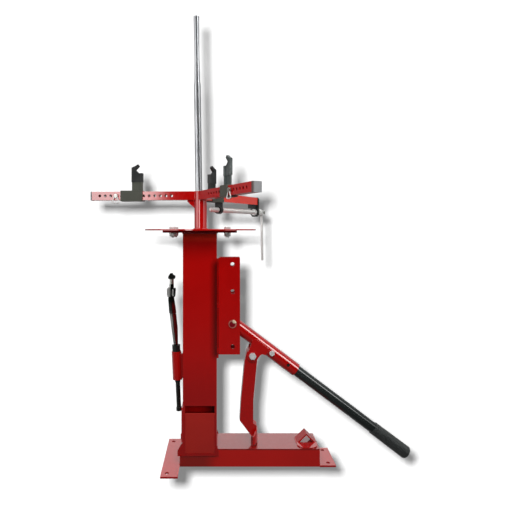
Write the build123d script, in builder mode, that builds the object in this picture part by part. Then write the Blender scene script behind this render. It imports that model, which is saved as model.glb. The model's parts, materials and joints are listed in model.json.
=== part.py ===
"""Hand-operated bench tyre changer: a red pedestal with three clamp arms, a
long demounting bar and a bead-breaker lever.

Frame: millimetres, origin on the floor under the axis of the centre post,
+X to the lever side, +Y to the rear, +Z up.
"""

import os
from math import cos, radians, sin

from build123d import *

os.makedirs("parts", exist_ok=True)

# ------------------------------------------------------- shared dimensions
SHEET = 3.0
RUNNING_GAP = 0.05

CHANNEL_X0, CHANNEL_X1 = -45.0, 269.0
CHANNEL_WIDTH, CHANNEL_HEIGHT = 80.0, 40.0

COLUMN_X, COLUMN_Y, COLUMN_TOP = 76.0, 86.0, 525.0

FLANGE_THICKNESS, DISC_THICKNESS = 5.0, 3.0
TABLE_TOP = COLUMN_TOP + FLANGE_THICKNESS + DISC_THICKNESS
POST_RADIUS, POST_BORE_RADIUS, POST_TOP = 14.5, 12.6, 621.0

# arms: azimuths in degrees from +X, distances from the post axis
ARM_LEFT, ARM_FRONT, ARM_REAR = 176.5, -64.0, 56.5
ARM_Z, ARM_SIZE, ARM_WALL, ARM_START, ARM_END = 610.5, 20.0, 2.0, 6.0, 255.0
ARM_INNER = ARM_SIZE - 2 * ARM_WALL
ARM_BOTTOM = ARM_Z - ARM_SIZE / 2
SLEEVE_OUTER, SLEEVE_REAR = 24.6, 33.0
SLEEVE_BOTTOM, SLEEVE_TOP = ARM_Z - SLEEVE_OUTER / 2, ARM_Z + SLEEVE_OUTER / 2
SCREW_Z, SCREW_RADIUS = 580.5, 6.0
SCREW_START, SCREW_END = 40.0, 284.0

BAR_BOTTOM_Z = 430.0

BRACKET_X0, BRACKET_WIDTH = 42.0, 38.0
PIVOT_X, PIVOT_Z, PIVOT_RADIUS = 74.0, 316.0, 5.0
LEVER_ANGLE, LEVER_SIZE = 36.9, 30.0


# ------------------------------------------------------------------ helpers
def save(name, builder):
    """Label a finished part and write its STEP file."""
    builder.part.label = name
    export_step(builder.part, f"parts/{name}.step")


def radial(azimuth):
    return Vector(cos(radians(azimuth)), sin(radians(azimuth)), 0)


def lateral(azimuth):
    return Vector(-sin(radians(azimuth)), cos(radians(azimuth)), 0)


def section_plane(azimuth, distance, z=ARM_Z):
    """Across an arm: local x sideways, local y up, normal outward."""
    return Plane(
        origin=radial(azimuth) * distance + Vector(0, 0, z),
        x_dir=lateral(azimuth),
        z_dir=radial(azimuth),
    )


def side_plane(azimuth, offset=0.0, z=0.0):
    """Along an arm: local x outward, local y up, normal against lateral()."""
    return Plane(
        origin=lateral(azimuth) * offset + Vector(0, 0, z),
        x_dir=radial(azimuth),
        z_dir=-lateral(azimuth),
    )


def front_plane(thickness):
    """Front face of a slab centred on y = 0; extrude by -thickness to fill it."""
    return Plane.XZ.offset(thickness / 2)


def make_nut(plane, hex_radius, length):
    """Hexagon nut for the pivot and link bolts."""
    with BuildPart() as nut:
        with BuildSketch(plane):
            RegularPolygon(hex_radius, 6)
            Circle(PIVOT_RADIUS, mode=Mode.SUBTRACT)
        extrude(amount=length)
    return nut


# --------------------------------------------------------------------- base
PLATE_THICKNESS, PLATE_HOLE_RADIUS = 4.0, 4.5

# name, x from, x to, width, hole x, hole pitch
FOOT_PLATES = (
    ("left_foot_plate", -83.0, CHANNEL_X0, 180.0, -70.0, 150.0),
    ("right_foot_plate", CHANNEL_X1, 305.0, 84.0, 290.0, 60.0),
)

# channel, open side down
with BuildPart() as base_channel:
    with BuildSketch(Plane.YZ.offset(CHANNEL_X0)):
        with Locations((0, CHANNEL_HEIGHT / 2)):
            Rectangle(CHANNEL_WIDTH, CHANNEL_HEIGHT)
        with Locations((0, (CHANNEL_HEIGHT - SHEET) / 2)):
            Rectangle(
                CHANNEL_WIDTH - 2 * SHEET, CHANNEL_HEIGHT - SHEET, mode=Mode.SUBTRACT
            )
    extrude(amount=CHANNEL_X1 - CHANNEL_X0)
save("base_channel", base_channel)


def make_foot_plate(x0, x1, width, hole_x, hole_pitch):
    with BuildPart() as plate:
        with BuildSketch(Plane.XY):
            with Locations(((x0 + x1) / 2, 0)):
                Rectangle(x1 - x0, width)
            with Locations((hole_x, hole_pitch / 2), (hole_x, -hole_pitch / 2)):
                Circle(PLATE_HOLE_RADIUS, mode=Mode.SUBTRACT)
        extrude(amount=PLATE_THICKNESS)
    return plate


for name, *sizes in FOOT_PLATES:
    save(name, make_foot_plate(*sizes))

# bead rest: a short inverted angle with a round-nosed pad in front of it
REST_Y0, REST_Y1, REST_X, REST_HALF, REST_TOP = -12.5, 17.5, 244.0, 22.8, 62.0
REST_X0, REST_X1 = REST_X - REST_HALF, REST_X + REST_HALF
REST_FOOT_WALL, REST_TOP_WALL = 4.2, 4.0
PAD_THICKNESS = 2.5
PAD_SHOULDER_Y = -24
PAD_CORNER_HALF, PAD_CORNER_Y = 16.5, -35
PAD_NOSE_HALF, PAD_NOSE_Y = 7, -39.6

with BuildPart() as bead_rest:
    with BuildSketch(Plane.XZ.offset(-REST_Y1)):
        with BuildLine():
            Polyline(
                (REST_X0, CHANNEL_HEIGHT),
                (REST_X, REST_TOP),
                (REST_X1, CHANNEL_HEIGHT),
                (REST_X1 - REST_FOOT_WALL, CHANNEL_HEIGHT),
                (REST_X, REST_TOP - REST_TOP_WALL),
                (REST_X0 + REST_FOOT_WALL, CHANNEL_HEIGHT),
                close=True,
            )
        make_face()
    extrude(amount=REST_Y1 - REST_Y0)
save("bead_rest", bead_rest)

with BuildPart() as bead_rest_pad:
    nose_left = (REST_X - PAD_NOSE_HALF, PAD_NOSE_Y)
    nose_right = (REST_X + PAD_NOSE_HALF, PAD_NOSE_Y)
    corner_left = (REST_X - PAD_CORNER_HALF, PAD_CORNER_Y)
    corner_right = (REST_X + PAD_CORNER_HALF, PAD_CORNER_Y)
    with BuildSketch(Plane.XY.offset(CHANNEL_HEIGHT)):
        with BuildLine():
            Line((REST_X0, REST_Y0), (REST_X0, PAD_SHOULDER_Y))
            ThreePointArc((REST_X0, PAD_SHOULDER_Y), corner_left, nose_left)
            Line(nose_left, nose_right)
            ThreePointArc(nose_right, corner_right, (REST_X1, PAD_SHOULDER_Y))
            Line((REST_X1, PAD_SHOULDER_Y), (REST_X1, REST_Y0))
            Line((REST_X1, REST_Y0), (REST_X0, REST_Y0))
        make_face()
    extrude(amount=PAD_THICKNESS)
save("bead_rest_pad", bead_rest_pad)

# ------------------------------------------------------------------- column
POCKET_X, POCKET_TOP, POCKET_PANEL_TOP, POCKET_BOTTOM = 66.0, 137.0, 121.0, 31.0
POCKET_RECESS = 1.0
STIFFENER_WIDTH, STIFFENER_HEIGHT, STIFFENER_THICKNESS, STIFFENER_Z = 70, 78, 4, 91
SEAT_DROP, SEAT_THICKNESS, SEAT_HOLE_Y, SEAT_HOLE_RADIUS = 6, 5, 25, 8

# (x, z) of the flared foot of the front and rear walls
SKIRT_BOTTOM = 25.0
SKIRT_OUTLINE = (
    (-COLUMN_X / 2, 55), (-43, 50), (-50, 37), (-50, SKIRT_BOTTOM),
    (42, SKIRT_BOTTOM), (42, 37), (COLUMN_X / 2, 50), (COLUMN_X / 2, 55),
)

with BuildPart() as column_tube:
    with BuildSketch(Plane.XY.offset(CHANNEL_HEIGHT)):
        Rectangle(COLUMN_X, COLUMN_Y)
        Rectangle(COLUMN_X - 2 * SHEET, COLUMN_Y - 2 * SHEET, mode=Mode.SUBTRACT)
    extrude(amount=COLUMN_TOP - CHANNEL_HEIGHT)
    for wall_y in (-COLUMN_Y / 2, COLUMN_Y / 2 - SHEET):
        with BuildSketch(Plane.XZ.offset(-wall_y)):
            with BuildLine():
                Polyline(*SKIRT_OUTLINE, close=True)
            make_face()
        extrude(amount=-SHEET)
    # pocket opening in the front wall
    with BuildSketch(Plane.XZ.offset(COLUMN_Y / 2)):
        with Locations((0, (POCKET_TOP + POCKET_BOTTOM) / 2)):
            Rectangle(POCKET_X, POCKET_TOP - POCKET_BOTTOM)
    extrude(amount=-SHEET, mode=Mode.SUBTRACT)
save("column_tube", column_tube)

# panel in the opening, set back from the wall's front face
with BuildPart() as pocket_panel:
    with BuildSketch(Plane.XZ.offset(COLUMN_Y / 2 - SHEET)):
        with Locations((0, (POCKET_PANEL_TOP + POCKET_BOTTOM) / 2)):
            Rectangle(POCKET_X, POCKET_PANEL_TOP - POCKET_BOTTOM)
    extrude(amount=SHEET - POCKET_RECESS)
save("pocket_panel", pocket_panel)

with BuildPart() as heel_stiffener:
    with BuildSketch(Plane.YZ.offset(-COLUMN_X / 2 - STIFFENER_THICKNESS)):
        with Locations((0, STIFFENER_Z)):
            Rectangle(STIFFENER_WIDTH, STIFFENER_HEIGHT)
    extrude(amount=STIFFENER_THICKNESS)
save("heel_stiffener", heel_stiffener)

# plate inside the column, just under the demounting bar
with BuildPart() as bar_seat:
    with BuildSketch(Plane.XY.offset(BAR_BOTTOM_Z - SEAT_DROP)):
        Rectangle(COLUMN_X - 2 * SHEET, COLUMN_Y - 2 * SHEET)
        with Locations((0, SEAT_HOLE_Y), (0, -SEAT_HOLE_Y)):
            Circle(SEAT_HOLE_RADIUS, mode=Mode.SUBTRACT)
    extrude(amount=SEAT_THICKNESS)
save("bar_seat", bar_seat)

# -------------------------------------------------------------------- table
FLANGE_X, FLANGE_Y, DISC_RADIUS = 165.0, 100.0, 128.0
TABLE_BOLT_GRID = (124.0, 70.0, 2, 2)  # pitch in x, pitch in y, counts
TABLE_BOLT_RADIUS, TABLE_BOLT_LENGTH = 4.0, 19
TABLE_HEX_RADIUS, TABLE_HEAD_HEIGHT, TABLE_NUT_HEIGHT = 6.8, 5, 6.5
TABLE_WASHER_RADIUS, TABLE_WASHER_THICKNESS = 7.8, 1.6

with BuildPart() as column_flange:
    with BuildSketch(Plane.XY.offset(COLUMN_TOP)):
        Rectangle(FLANGE_X, FLANGE_Y)
        Circle(POST_BORE_RADIUS, mode=Mode.SUBTRACT)
        with GridLocations(*TABLE_BOLT_GRID):
            Circle(TABLE_BOLT_RADIUS, mode=Mode.SUBTRACT)
    extrude(amount=FLANGE_THICKNESS)
save("column_flange", column_flange)

with BuildPart() as support_disc:
    with BuildSketch(Plane.XY.offset(COLUMN_TOP + FLANGE_THICKNESS)):
        Circle(DISC_RADIUS)
        Circle(POST_BORE_RADIUS, mode=Mode.SUBTRACT)
        with GridLocations(*TABLE_BOLT_GRID):
            Circle(TABLE_BOLT_RADIUS, mode=Mode.SUBTRACT)
    extrude(amount=DISC_THICKNESS)
save("support_disc", support_disc)

with BuildPart() as table_bolts:
    with BuildSketch(Plane.XY.offset(TABLE_TOP)):
        with GridLocations(*TABLE_BOLT_GRID):
            RegularPolygon(TABLE_HEX_RADIUS, 6)
    extrude(amount=TABLE_HEAD_HEIGHT)
    with BuildSketch(Plane.XY.offset(TABLE_TOP)):
        with GridLocations(*TABLE_BOLT_GRID):
            Circle(TABLE_BOLT_RADIUS)
    extrude(amount=-TABLE_BOLT_LENGTH)
save("table_bolts", table_bolts)

with BuildPart() as table_washers:
    with BuildSketch(Plane.XY.offset(COLUMN_TOP)):
        with GridLocations(*TABLE_BOLT_GRID):
            Circle(TABLE_WASHER_RADIUS)
            Circle(TABLE_BOLT_RADIUS, mode=Mode.SUBTRACT)
    extrude(amount=-TABLE_WASHER_THICKNESS)
save("table_washers", table_washers)

with BuildPart() as table_nuts:
    with BuildSketch(Plane.XY.offset(COLUMN_TOP - TABLE_WASHER_THICKNESS)):
        with GridLocations(*TABLE_BOLT_GRID):
            RegularPolygon(TABLE_HEX_RADIUS, 6)
            Circle(TABLE_BOLT_RADIUS, mode=Mode.SUBTRACT)
    extrude(amount=-TABLE_NUT_HEIGHT)
save("table_nuts", table_nuts)

# ------------------------------------------------------------ post and arms
GUSSET_THICKNESS = 5
# (distance from the post axis, z)
GUSSET_OUTLINE = (
    (POST_RADIUS, ARM_BOTTOM), (31, ARM_BOTTOM), (31, 597), (POST_RADIUS, 582),
)
GUSSET_CUT_Z, GUSSET_CUT_HEIGHT = 580, 22
ARM_CUT_Z, ARM_CUT_HEIGHT = 590, 40
ARM_HOLE_RADIUS, ARM_HOLE_FIRST, ARM_HOLE_PITCH, ARM_HOLES = 3.25, 67.0, 13.0, 14
ARM_DRILL_DEPTH = 30
CAP_OVERHANG, CAP_CORNER, CAP_THICKNESS = 0.6, 1.5, 3
CAP_PLUG_WALL, CAP_PLUG_DEPTH = 1.5, 10

with BuildPart() as center_post:
    with BuildSketch(Plane.XY.offset(TABLE_TOP)):
        Circle(POST_RADIUS)
        Circle(POST_BORE_RADIUS, mode=Mode.SUBTRACT)
    extrude(amount=POST_TOP - TABLE_TOP)
save("center_post", center_post)

# gusset under the left arm
with BuildPart() as post_gusset:
    with BuildSketch(side_plane(ARM_LEFT, GUSSET_THICKNESS / 2)):
        with BuildLine():
            Polyline(*GUSSET_OUTLINE, close=True)
        make_face()
    extrude(amount=GUSSET_THICKNESS)
    with BuildSketch(Plane.XY.offset(GUSSET_CUT_Z)):
        Circle(POST_RADIUS)
    extrude(amount=GUSSET_CUT_HEIGHT, mode=Mode.SUBTRACT)
save("post_gusset", post_gusset)


def make_arm(azimuth, holes=True):
    """Square tube fitted round the post, with a row of lock-pin holes."""
    with BuildPart() as arm:
        with BuildSketch(section_plane(azimuth, ARM_START)):
            Rectangle(ARM_SIZE, ARM_SIZE)
            Rectangle(ARM_INNER, ARM_INNER, mode=Mode.SUBTRACT)
        extrude(amount=ARM_END - ARM_START)
        with BuildSketch(Plane.XY.offset(ARM_CUT_Z)):
            Circle(POST_RADIUS)
        extrude(amount=ARM_CUT_HEIGHT, mode=Mode.SUBTRACT)
        if holes:
            with BuildSketch(side_plane(azimuth, ARM_DRILL_DEPTH / 2, ARM_Z)):
                for index in range(ARM_HOLES):
                    with Locations((ARM_HOLE_FIRST + index * ARM_HOLE_PITCH, 0)):
                        Circle(ARM_HOLE_RADIUS)
            extrude(amount=ARM_DRILL_DEPTH, mode=Mode.SUBTRACT)
    return arm


save("arm_left", make_arm(ARM_LEFT))
save("arm_front", make_arm(ARM_FRONT))
save("arm_rear", make_arm(ARM_REAR, holes=False))

# caps with hollow plugs, on the left and front arms
with BuildPart() as arm_end_caps:
    for azimuth in (ARM_LEFT, ARM_FRONT):
        with BuildSketch(section_plane(azimuth, ARM_END)):
            RectangleRounded(
                ARM_SIZE + CAP_OVERHANG, ARM_SIZE + CAP_OVERHANG, CAP_CORNER
            )
        extrude(amount=CAP_THICKNESS)
        with BuildSketch(section_plane(azimuth, ARM_END)):
            plug_bore = ARM_INNER - 2 * CAP_PLUG_WALL
            Rectangle(ARM_INNER, ARM_INNER)
            Rectangle(plug_bore, plug_bore, mode=Mode.SUBTRACT)
        extrude(amount=-CAP_PLUG_DEPTH)
save("arm_end_caps", arm_end_caps)

# ------------------------------------------------------------------- clamps
# name, azimuth, sleeve start, sleeve length
CLAMPS = (
    ("left", ARM_LEFT, 134.5, 52.0),
    ("front", ARM_FRONT, 126.8, 34.0),
    ("rear", ARM_REAR, SLEEVE_REAR, 48.0),
)

JAW_PLATE, JAW_FLANGE, JAW_FLANGE_WIDTH = 3.5, 4.5, 8.0
JAW_INSET, JAW_FLANGE_TOP = 2.0, 660
# (distance from the sleeve's start, z)
JAW_OUTLINE = (
    (JAW_INSET, SLEEVE_TOP), (JAW_INSET, JAW_FLANGE_TOP), (12, JAW_FLANGE_TOP),
    (16, 666), (25, 671), (27.5, 668), (27.5, SLEEVE_TOP),
)

COVER_PLATE, COVER_FLANGE, COVER_FLANGE_WIDTH = 6.4, 5.3, JAW_FLANGE_WIDTH + 1.6
COVER_INSET, COVER_FOOT, COVER_FLANGE_TOP = 1.2, 643.0, 664.2
# (distance from the sleeve's start, z)
COVER_OUTLINE = (
    (COVER_INSET, COVER_FOOT), (COVER_INSET, COVER_FLANGE_TOP),
    (10.5, COVER_FLANGE_TOP), (17.4, 671.3), (8.7, 680.2), (12.4, 685.4),
    (21.0, 680.5), (28.2, 677.5), (28.2, COVER_FOOT),
)


def make_sleeve(azimuth, start, length):
    """Square sleeve sliding on the arm."""
    bore = ARM_SIZE + 2 * RUNNING_GAP
    with BuildPart() as sleeve:
        with BuildSketch(section_plane(azimuth, start)):
            Rectangle(SLEEVE_OUTER, SLEEVE_OUTER)
            Rectangle(bore, bore, mode=Mode.SUBTRACT)
        extrude(amount=length)
    return sleeve


def make_jaw(azimuth, start):
    """Steel upright: a plate in the arm's plane and a flange on its inner edge."""
    with BuildPart() as jaw:
        with BuildSketch(side_plane(azimuth, JAW_PLATE / 2)):
            with BuildLine():
                Polyline(*[(start + out, z) for out, z in JAW_OUTLINE], close=True)
            make_face()
        extrude(amount=JAW_PLATE)
        with BuildSketch(section_plane(azimuth, start + JAW_INSET, 0)):
            with Locations((0, (SLEEVE_TOP + JAW_FLANGE_TOP) / 2)):
                Rectangle(JAW_FLANGE_WIDTH, JAW_FLANGE_TOP - SLEEVE_TOP)
        extrude(amount=JAW_FLANGE)
    return jaw


def make_cover(azimuth, start, steel):
    """Moulded hook cover pushed over the steel upright."""
    with BuildPart() as cover:
        with BuildSketch(side_plane(azimuth, COVER_PLATE / 2)):
            with BuildLine():
                Polyline(*[(start + out, z) for out, z in COVER_OUTLINE], close=True)
            make_face()
        extrude(amount=COVER_PLATE)
        with BuildSketch(section_plane(azimuth, start + COVER_INSET, 0)):
            with Locations((0, (COVER_FOOT + COVER_FLANGE_TOP) / 2)):
                Rectangle(COVER_FLANGE_WIDTH, COVER_FLANGE_TOP - COVER_FOOT)
        extrude(amount=COVER_FLANGE)
        add(steel.part, mode=Mode.SUBTRACT)
    return cover


for side, azimuth, start, length in CLAMPS:
    save(f"clamp_sleeve_{side}", make_sleeve(azimuth, start, length))
    clamp_jaw = make_jaw(azimuth, start)
    save(f"clamp_jaw_{side}", clamp_jaw)
    save(f"jaw_cover_{side}", make_cover(azimuth, start, clamp_jaw))

# ------------------------------------------ clamping screw under the rear arm
NUT_START, NUT_LENGTH, NUT_RADIUS, NUT_NECK_HALF = SLEEVE_REAR + 38, 11.0, 10, 8
BRACKET_PLATE = 6
# (sideways, z)
SCREW_BRACKET_OUTLINE = (
    (-12, 618), (-12, 574), (-7, 568), (7, 568), (12, 574), (12, 618),
    (9, 621.5), (-9, 621.5),
)
BRACKET_PLUG_DEPTH = 8
BRACKET_BLOCK_WIDTH, BRACKET_BLOCK_HEIGHT, BRACKET_BLOCK_LENGTH = 16, 10, 22
COLLAR_GAP, SCREW_CHAMFER = 0.1, 1.0
INNER_COLLAR_RADIUS, INNER_COLLAR_LENGTH = 9, 5
OUTER_COLLAR_RADIUS, OUTER_COLLAR_LENGTH = 9.5, 6

# nut hanging under the rear sleeve, on the clamping screw
with BuildPart() as screw_nut:
    with BuildSketch(section_plane(ARM_REAR, NUT_START, 0)):
        with BuildLine():
            Polyline(
                (-NUT_NECK_HALF, SLEEVE_BOTTOM),
                (-NUT_NECK_HALF, SCREW_Z),
                (NUT_NECK_HALF, SCREW_Z),
                (NUT_NECK_HALF, SLEEVE_BOTTOM),
                close=True,
            )
        make_face()
        with Locations((0, SCREW_Z)):
            Circle(NUT_RADIUS)
            Circle(SCREW_RADIUS + RUNNING_GAP, mode=Mode.SUBTRACT)
    extrude(amount=NUT_LENGTH)
save("screw_nut", screw_nut)

# end plate of the rear arm, with a plug in the tube and a block under it
with BuildPart() as screw_bracket:
    with BuildSketch(section_plane(ARM_REAR, ARM_END, 0)):
        with BuildLine():
            Polyline(*SCREW_BRACKET_OUTLINE, close=True)
        make_face()
        with Locations((0, SCREW_Z)):
            Circle(SCREW_RADIUS + RUNNING_GAP, mode=Mode.SUBTRACT)
    extrude(amount=BRACKET_PLATE)
    with BuildSketch(section_plane(ARM_REAR, ARM_END)):
        Rectangle(ARM_INNER, ARM_INNER)
    extrude(amount=-BRACKET_PLUG_DEPTH)
    with BuildSketch(section_plane(ARM_REAR, ARM_END, 0)):
        with Locations((0, ARM_BOTTOM - BRACKET_BLOCK_HEIGHT / 2)):
            Rectangle(BRACKET_BLOCK_WIDTH, BRACKET_BLOCK_HEIGHT)
    extrude(amount=-BRACKET_BLOCK_LENGTH)
save("screw_bracket", screw_bracket)

# screw with a collar on each side of the end plate
with BuildPart() as clamp_screw:
    inner_collar_start = ARM_END - COLLAR_GAP - INNER_COLLAR_LENGTH
    outer_collar_start = ARM_END + BRACKET_PLATE + COLLAR_GAP
    for start, radius, length in (
        (SCREW_START, SCREW_RADIUS, SCREW_END - SCREW_START),
        (inner_collar_start, INNER_COLLAR_RADIUS, INNER_COLLAR_LENGTH),
        (outer_collar_start, OUTER_COLLAR_RADIUS, OUTER_COLLAR_LENGTH),
    ):
        with BuildSketch(section_plane(ARM_REAR, start, SCREW_Z)):
            Circle(radius)
        extrude(amount=length)
    faces_outward = clamp_screw.faces().sort_by(
        Axis((0, 0, SCREW_Z), tuple(radial(ARM_REAR)))
    )
    chamfer(faces_outward[0].edges(), SCREW_CHAMFER)
save("clamp_screw", clamp_screw)

# folding crank at the end of the screw
CRANK_PIN_DISTANCE, CRANK_PIN_RADIUS = 297.0, 2.5
CRANK_PIN_HEAD_RADIUS, CRANK_PIN_HEAD = 4, 2
FORK_HUB_RADIUS, FORK_HUB_LENGTH, FORK_WEB = 10, 12, 2
FORK_HALF, CHEEK_THICKNESS, CHEEK_LENGTH = 8.0, 3.9, 11
EYE_RADIUS, EYE_THICKNESS = 6.5, 7.8
CRANK_SPLAY, CRANK_ROD_DROP, CRANK_ROD_RADIUS, CRANK_ROD_LENGTH = 2.0, 4.5, 3.7, 132

with BuildPart() as crank_fork:
    with BuildSketch(section_plane(ARM_REAR, SCREW_END - FORK_HUB_LENGTH, SCREW_Z)):
        Circle(FORK_HUB_RADIUS)
        Circle(SCREW_RADIUS, mode=Mode.SUBTRACT)
    extrude(amount=FORK_HUB_LENGTH)
    with BuildSketch(section_plane(ARM_REAR, SCREW_END, SCREW_Z)):
        Circle(FORK_HUB_RADIUS)
    extrude(amount=FORK_WEB)
    for cheek_face in (CHEEK_THICKNESS - FORK_HALF, FORK_HALF):
        with BuildSketch(side_plane(ARM_REAR, cheek_face, SCREW_Z)):
            with Locations((CRANK_PIN_DISTANCE - EYE_RADIUS, 0)):
                Rectangle(CHEEK_LENGTH, 2 * EYE_RADIUS)
            with Locations((CRANK_PIN_DISTANCE, 0)):
                Circle(EYE_RADIUS)
                Circle(CRANK_PIN_RADIUS, mode=Mode.SUBTRACT)
        extrude(amount=CHEEK_THICKNESS)
save("crank_fork", crank_fork)

# pin through the fork, with a head at each end
with BuildPart() as crank_pin:
    for offset, radius, length in (
        (FORK_HALF, CRANK_PIN_RADIUS, 2 * FORK_HALF),
        (FORK_HALF + CRANK_PIN_HEAD, CRANK_PIN_HEAD_RADIUS, CRANK_PIN_HEAD),
        (-FORK_HALF, CRANK_PIN_HEAD_RADIUS, CRANK_PIN_HEAD),
    ):
        with BuildSketch(side_plane(ARM_REAR, offset, SCREW_Z)):
            with Locations((CRANK_PIN_DISTANCE, 0)):
                Circle(radius)
        extrude(amount=length)
save("crank_pin", crank_pin)

# eye on the pin and a rod hanging down, splayed slightly outward
with BuildPart() as crank_handle:
    with BuildSketch(side_plane(ARM_REAR, EYE_THICKNESS / 2, SCREW_Z)):
        with Locations((CRANK_PIN_DISTANCE, 0)):
            Circle(EYE_RADIUS)
            Circle(CRANK_PIN_RADIUS + RUNNING_GAP, mode=Mode.SUBTRACT)
    extrude(amount=EYE_THICKNESS)
    outward = radial(ARM_REAR) * sin(radians(CRANK_SPLAY))
    rod_plane = Plane(
        origin=radial(ARM_REAR) * CRANK_PIN_DISTANCE
        + Vector(0, 0, SCREW_Z - CRANK_ROD_DROP),
        x_dir=lateral(ARM_REAR),
        z_dir=outward - Vector(0, 0, cos(radians(CRANK_SPLAY))),
    )
    with BuildSketch(rod_plane):
        Circle(CRANK_ROD_RADIUS)
    extrude(amount=CRANK_ROD_LENGTH)
save("crank_handle", crank_handle)

# ---------------------------------------------------------------- lock pins
# name, azimuth, distance from the post axis
LOCK_PINS = (("left", ARM_LEFT, 197.0), ("front", ARM_FRONT, 171.0))
# clearance of the pieces' outer ends (for the bail, its wire) from the arm's side
PIN_HEAD_OUT, PIN_HEAD_RADIUS, PIN_HEAD_LENGTH = 5.3, 4.8, 5
PIN_OUT, PIN_RADIUS, PIN_LENGTH = 2, 3.2, ARM_SIZE + 7
BAIL_OUT, BAIL_WIRE_RADIUS = 3.8, 1.1
# (along the arm, up) from the pin axis
BAIL_POINTS = (
    (-3.0, -2.4), (-8.5, -14.0), (-6.5, -17.0), (6.5, -17.0), (8.5, -14.0), (3.0, -2.4),
)


def near_side(azimuth):
    """+1 when the arm's local sideways direction faces the front, else -1."""
    return 1 if lateral(azimuth).Y < 0 else -1


def beside_arm(azimuth, distance, out):
    """Point at pin height, a given way out from the arm's front-facing side."""
    return (
        Vector(0, 0, ARM_Z)
        + radial(azimuth) * distance
        + lateral(azimuth) * (near_side(azimuth) * (ARM_SIZE / 2 + out))
    )


def make_bail(azimuth, distance):
    """Wire pull ring hanging from the pin's head."""
    origin = beside_arm(azimuth, distance, BAIL_OUT)
    along, up = radial(azimuth), Vector(0, 0, 1)
    with BuildPart() as bail:
        with BuildLine() as wire:
            Polyline(*[origin + along * out + up * rise for out, rise in BAIL_POINTS])
        with BuildSketch(Plane(origin=wire.line @ 0, z_dir=wire.line % 0)):
            Circle(BAIL_WIRE_RADIUS)
        sweep(path=wire.line, transition=Transition.ROUND)
    return bail


def make_lock_pin(azimuth, distance, bail):
    """Head and pin through the arm, grooved where the bail passes."""
    with BuildPart() as pin:
        for out, radius, length in (
            (PIN_HEAD_OUT, PIN_HEAD_RADIUS, PIN_HEAD_LENGTH),
            (PIN_OUT, PIN_RADIUS, PIN_LENGTH),
        ):
            plane = Plane(
                origin=beside_arm(azimuth, distance, out),
                x_dir=radial(azimuth),
                z_dir=lateral(azimuth) * -near_side(azimuth),
            )
            with BuildSketch(plane):
                Circle(radius)
            extrude(amount=length)
        add(bail.part, mode=Mode.SUBTRACT)
    return pin


for side, azimuth, distance in LOCK_PINS:
    pin_bail = make_bail(azimuth, distance)
    save(f"pin_bail_{side}", pin_bail)
    save(f"lock_pin_{side}", make_lock_pin(azimuth, distance, pin_bail))

# ----------------------------------------------------------- demounting bar
BAR_LEAN, BAR_AT_POST_TOP_X = 0.82, -4.1
BAR_STEP_Z, BAR_WAIST_Z, BAR_TOP_Z = 872.0, 940.0, 1028.0
BAR_RADIUS, BAR_NECK_RADIUS, BAR_WAIST_RADIUS, BAR_CROWN_RADIUS = 8.0, 6.9, 5.8, 6.6
BAR_DIRECTION = Vector(-sin(radians(BAR_LEAN)), 0, cos(radians(BAR_LEAN)))


def bar_plane(z):
    """Across the bar where its axis is at height z."""
    along = (z - POST_TOP) / BAR_DIRECTION.Z
    return Plane(
        origin=Vector(BAR_AT_POST_TOP_X, 0, POST_TOP) + BAR_DIRECTION * along,
        z_dir=BAR_DIRECTION,
    )


# plain lower bar, stepped in to a waisted upper end
with BuildPart() as demount_bar:
    with BuildSketch(bar_plane(BAR_BOTTOM_Z)):
        Circle(BAR_RADIUS)
    extrude(amount=(BAR_STEP_Z - BAR_BOTTOM_Z) / BAR_DIRECTION.Z)
    with BuildSketch(bar_plane(BAR_STEP_Z)) as neck:
        Circle(BAR_NECK_RADIUS)
    with BuildSketch(bar_plane(BAR_WAIST_Z)) as waist:
        Circle(BAR_WAIST_RADIUS)
    with BuildSketch(bar_plane(BAR_TOP_Z)) as crown:
        Circle(BAR_CROWN_RADIUS)
    loft(sections=[neck.sketch.face(), waist.sketch.face()])
    loft(sections=[waist.sketch.face(), crown.sketch.face()])
save("demount_bar", demount_bar)

# -------------------------------------------------------------- lever mount
BRACKET_X1, BRACKET_Z0, BRACKET_Z1 = 91.0, 246.0, 468.0
BRACKET_HOLES_Z = (452.0, 390.0, 264.0, PIVOT_Z)
MOUNT_WIDTH, MOUNT_HEIGHT, MOUNT_Z = 26, 230, 351
MOUNT_BAR_WIDTH, MOUNT_BAR_HEIGHT, MOUNT_BARS_Z = 34, 10, (253, 357, 461)
PIVOT_HEAD_RADIUS, PIVOT_HEAD_THICKNESS, PIVOT_BOLT_LENGTH = 9.6, 3, 50
PIVOT_RECESS_RADIUS, PIVOT_RECESS_DEPTH, PIVOT_RECESS_SHIFT = 7, 2, 1
PIVOT_HEX_RADIUS, BOLT_NUT_LENGTH = 8.6, 8

# upright channel, open on +X
with BuildPart() as lever_bracket:
    with BuildSketch(Plane.XY.offset(BRACKET_Z0)):
        with Locations(((BRACKET_X0 + BRACKET_X1) / 2, 0)):
            Rectangle(BRACKET_X1 - BRACKET_X0, BRACKET_WIDTH)
        with Locations(((BRACKET_X0 + BRACKET_X1) / 2 + SHEET, 0)):
            Rectangle(
                BRACKET_X1 - BRACKET_X0,
                BRACKET_WIDTH - 2 * SHEET,
                mode=Mode.SUBTRACT,
            )
    extrude(amount=BRACKET_Z1 - BRACKET_Z0)
    with BuildSketch(Plane.XZ.offset(BRACKET_WIDTH)):
        for hole_z in BRACKET_HOLES_Z:
            with Locations((PIVOT_X, hole_z)):
                Circle(PIVOT_RADIUS)
    extrude(amount=-2 * BRACKET_WIDTH, mode=Mode.SUBTRACT)
save("lever_bracket", lever_bracket)

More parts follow.
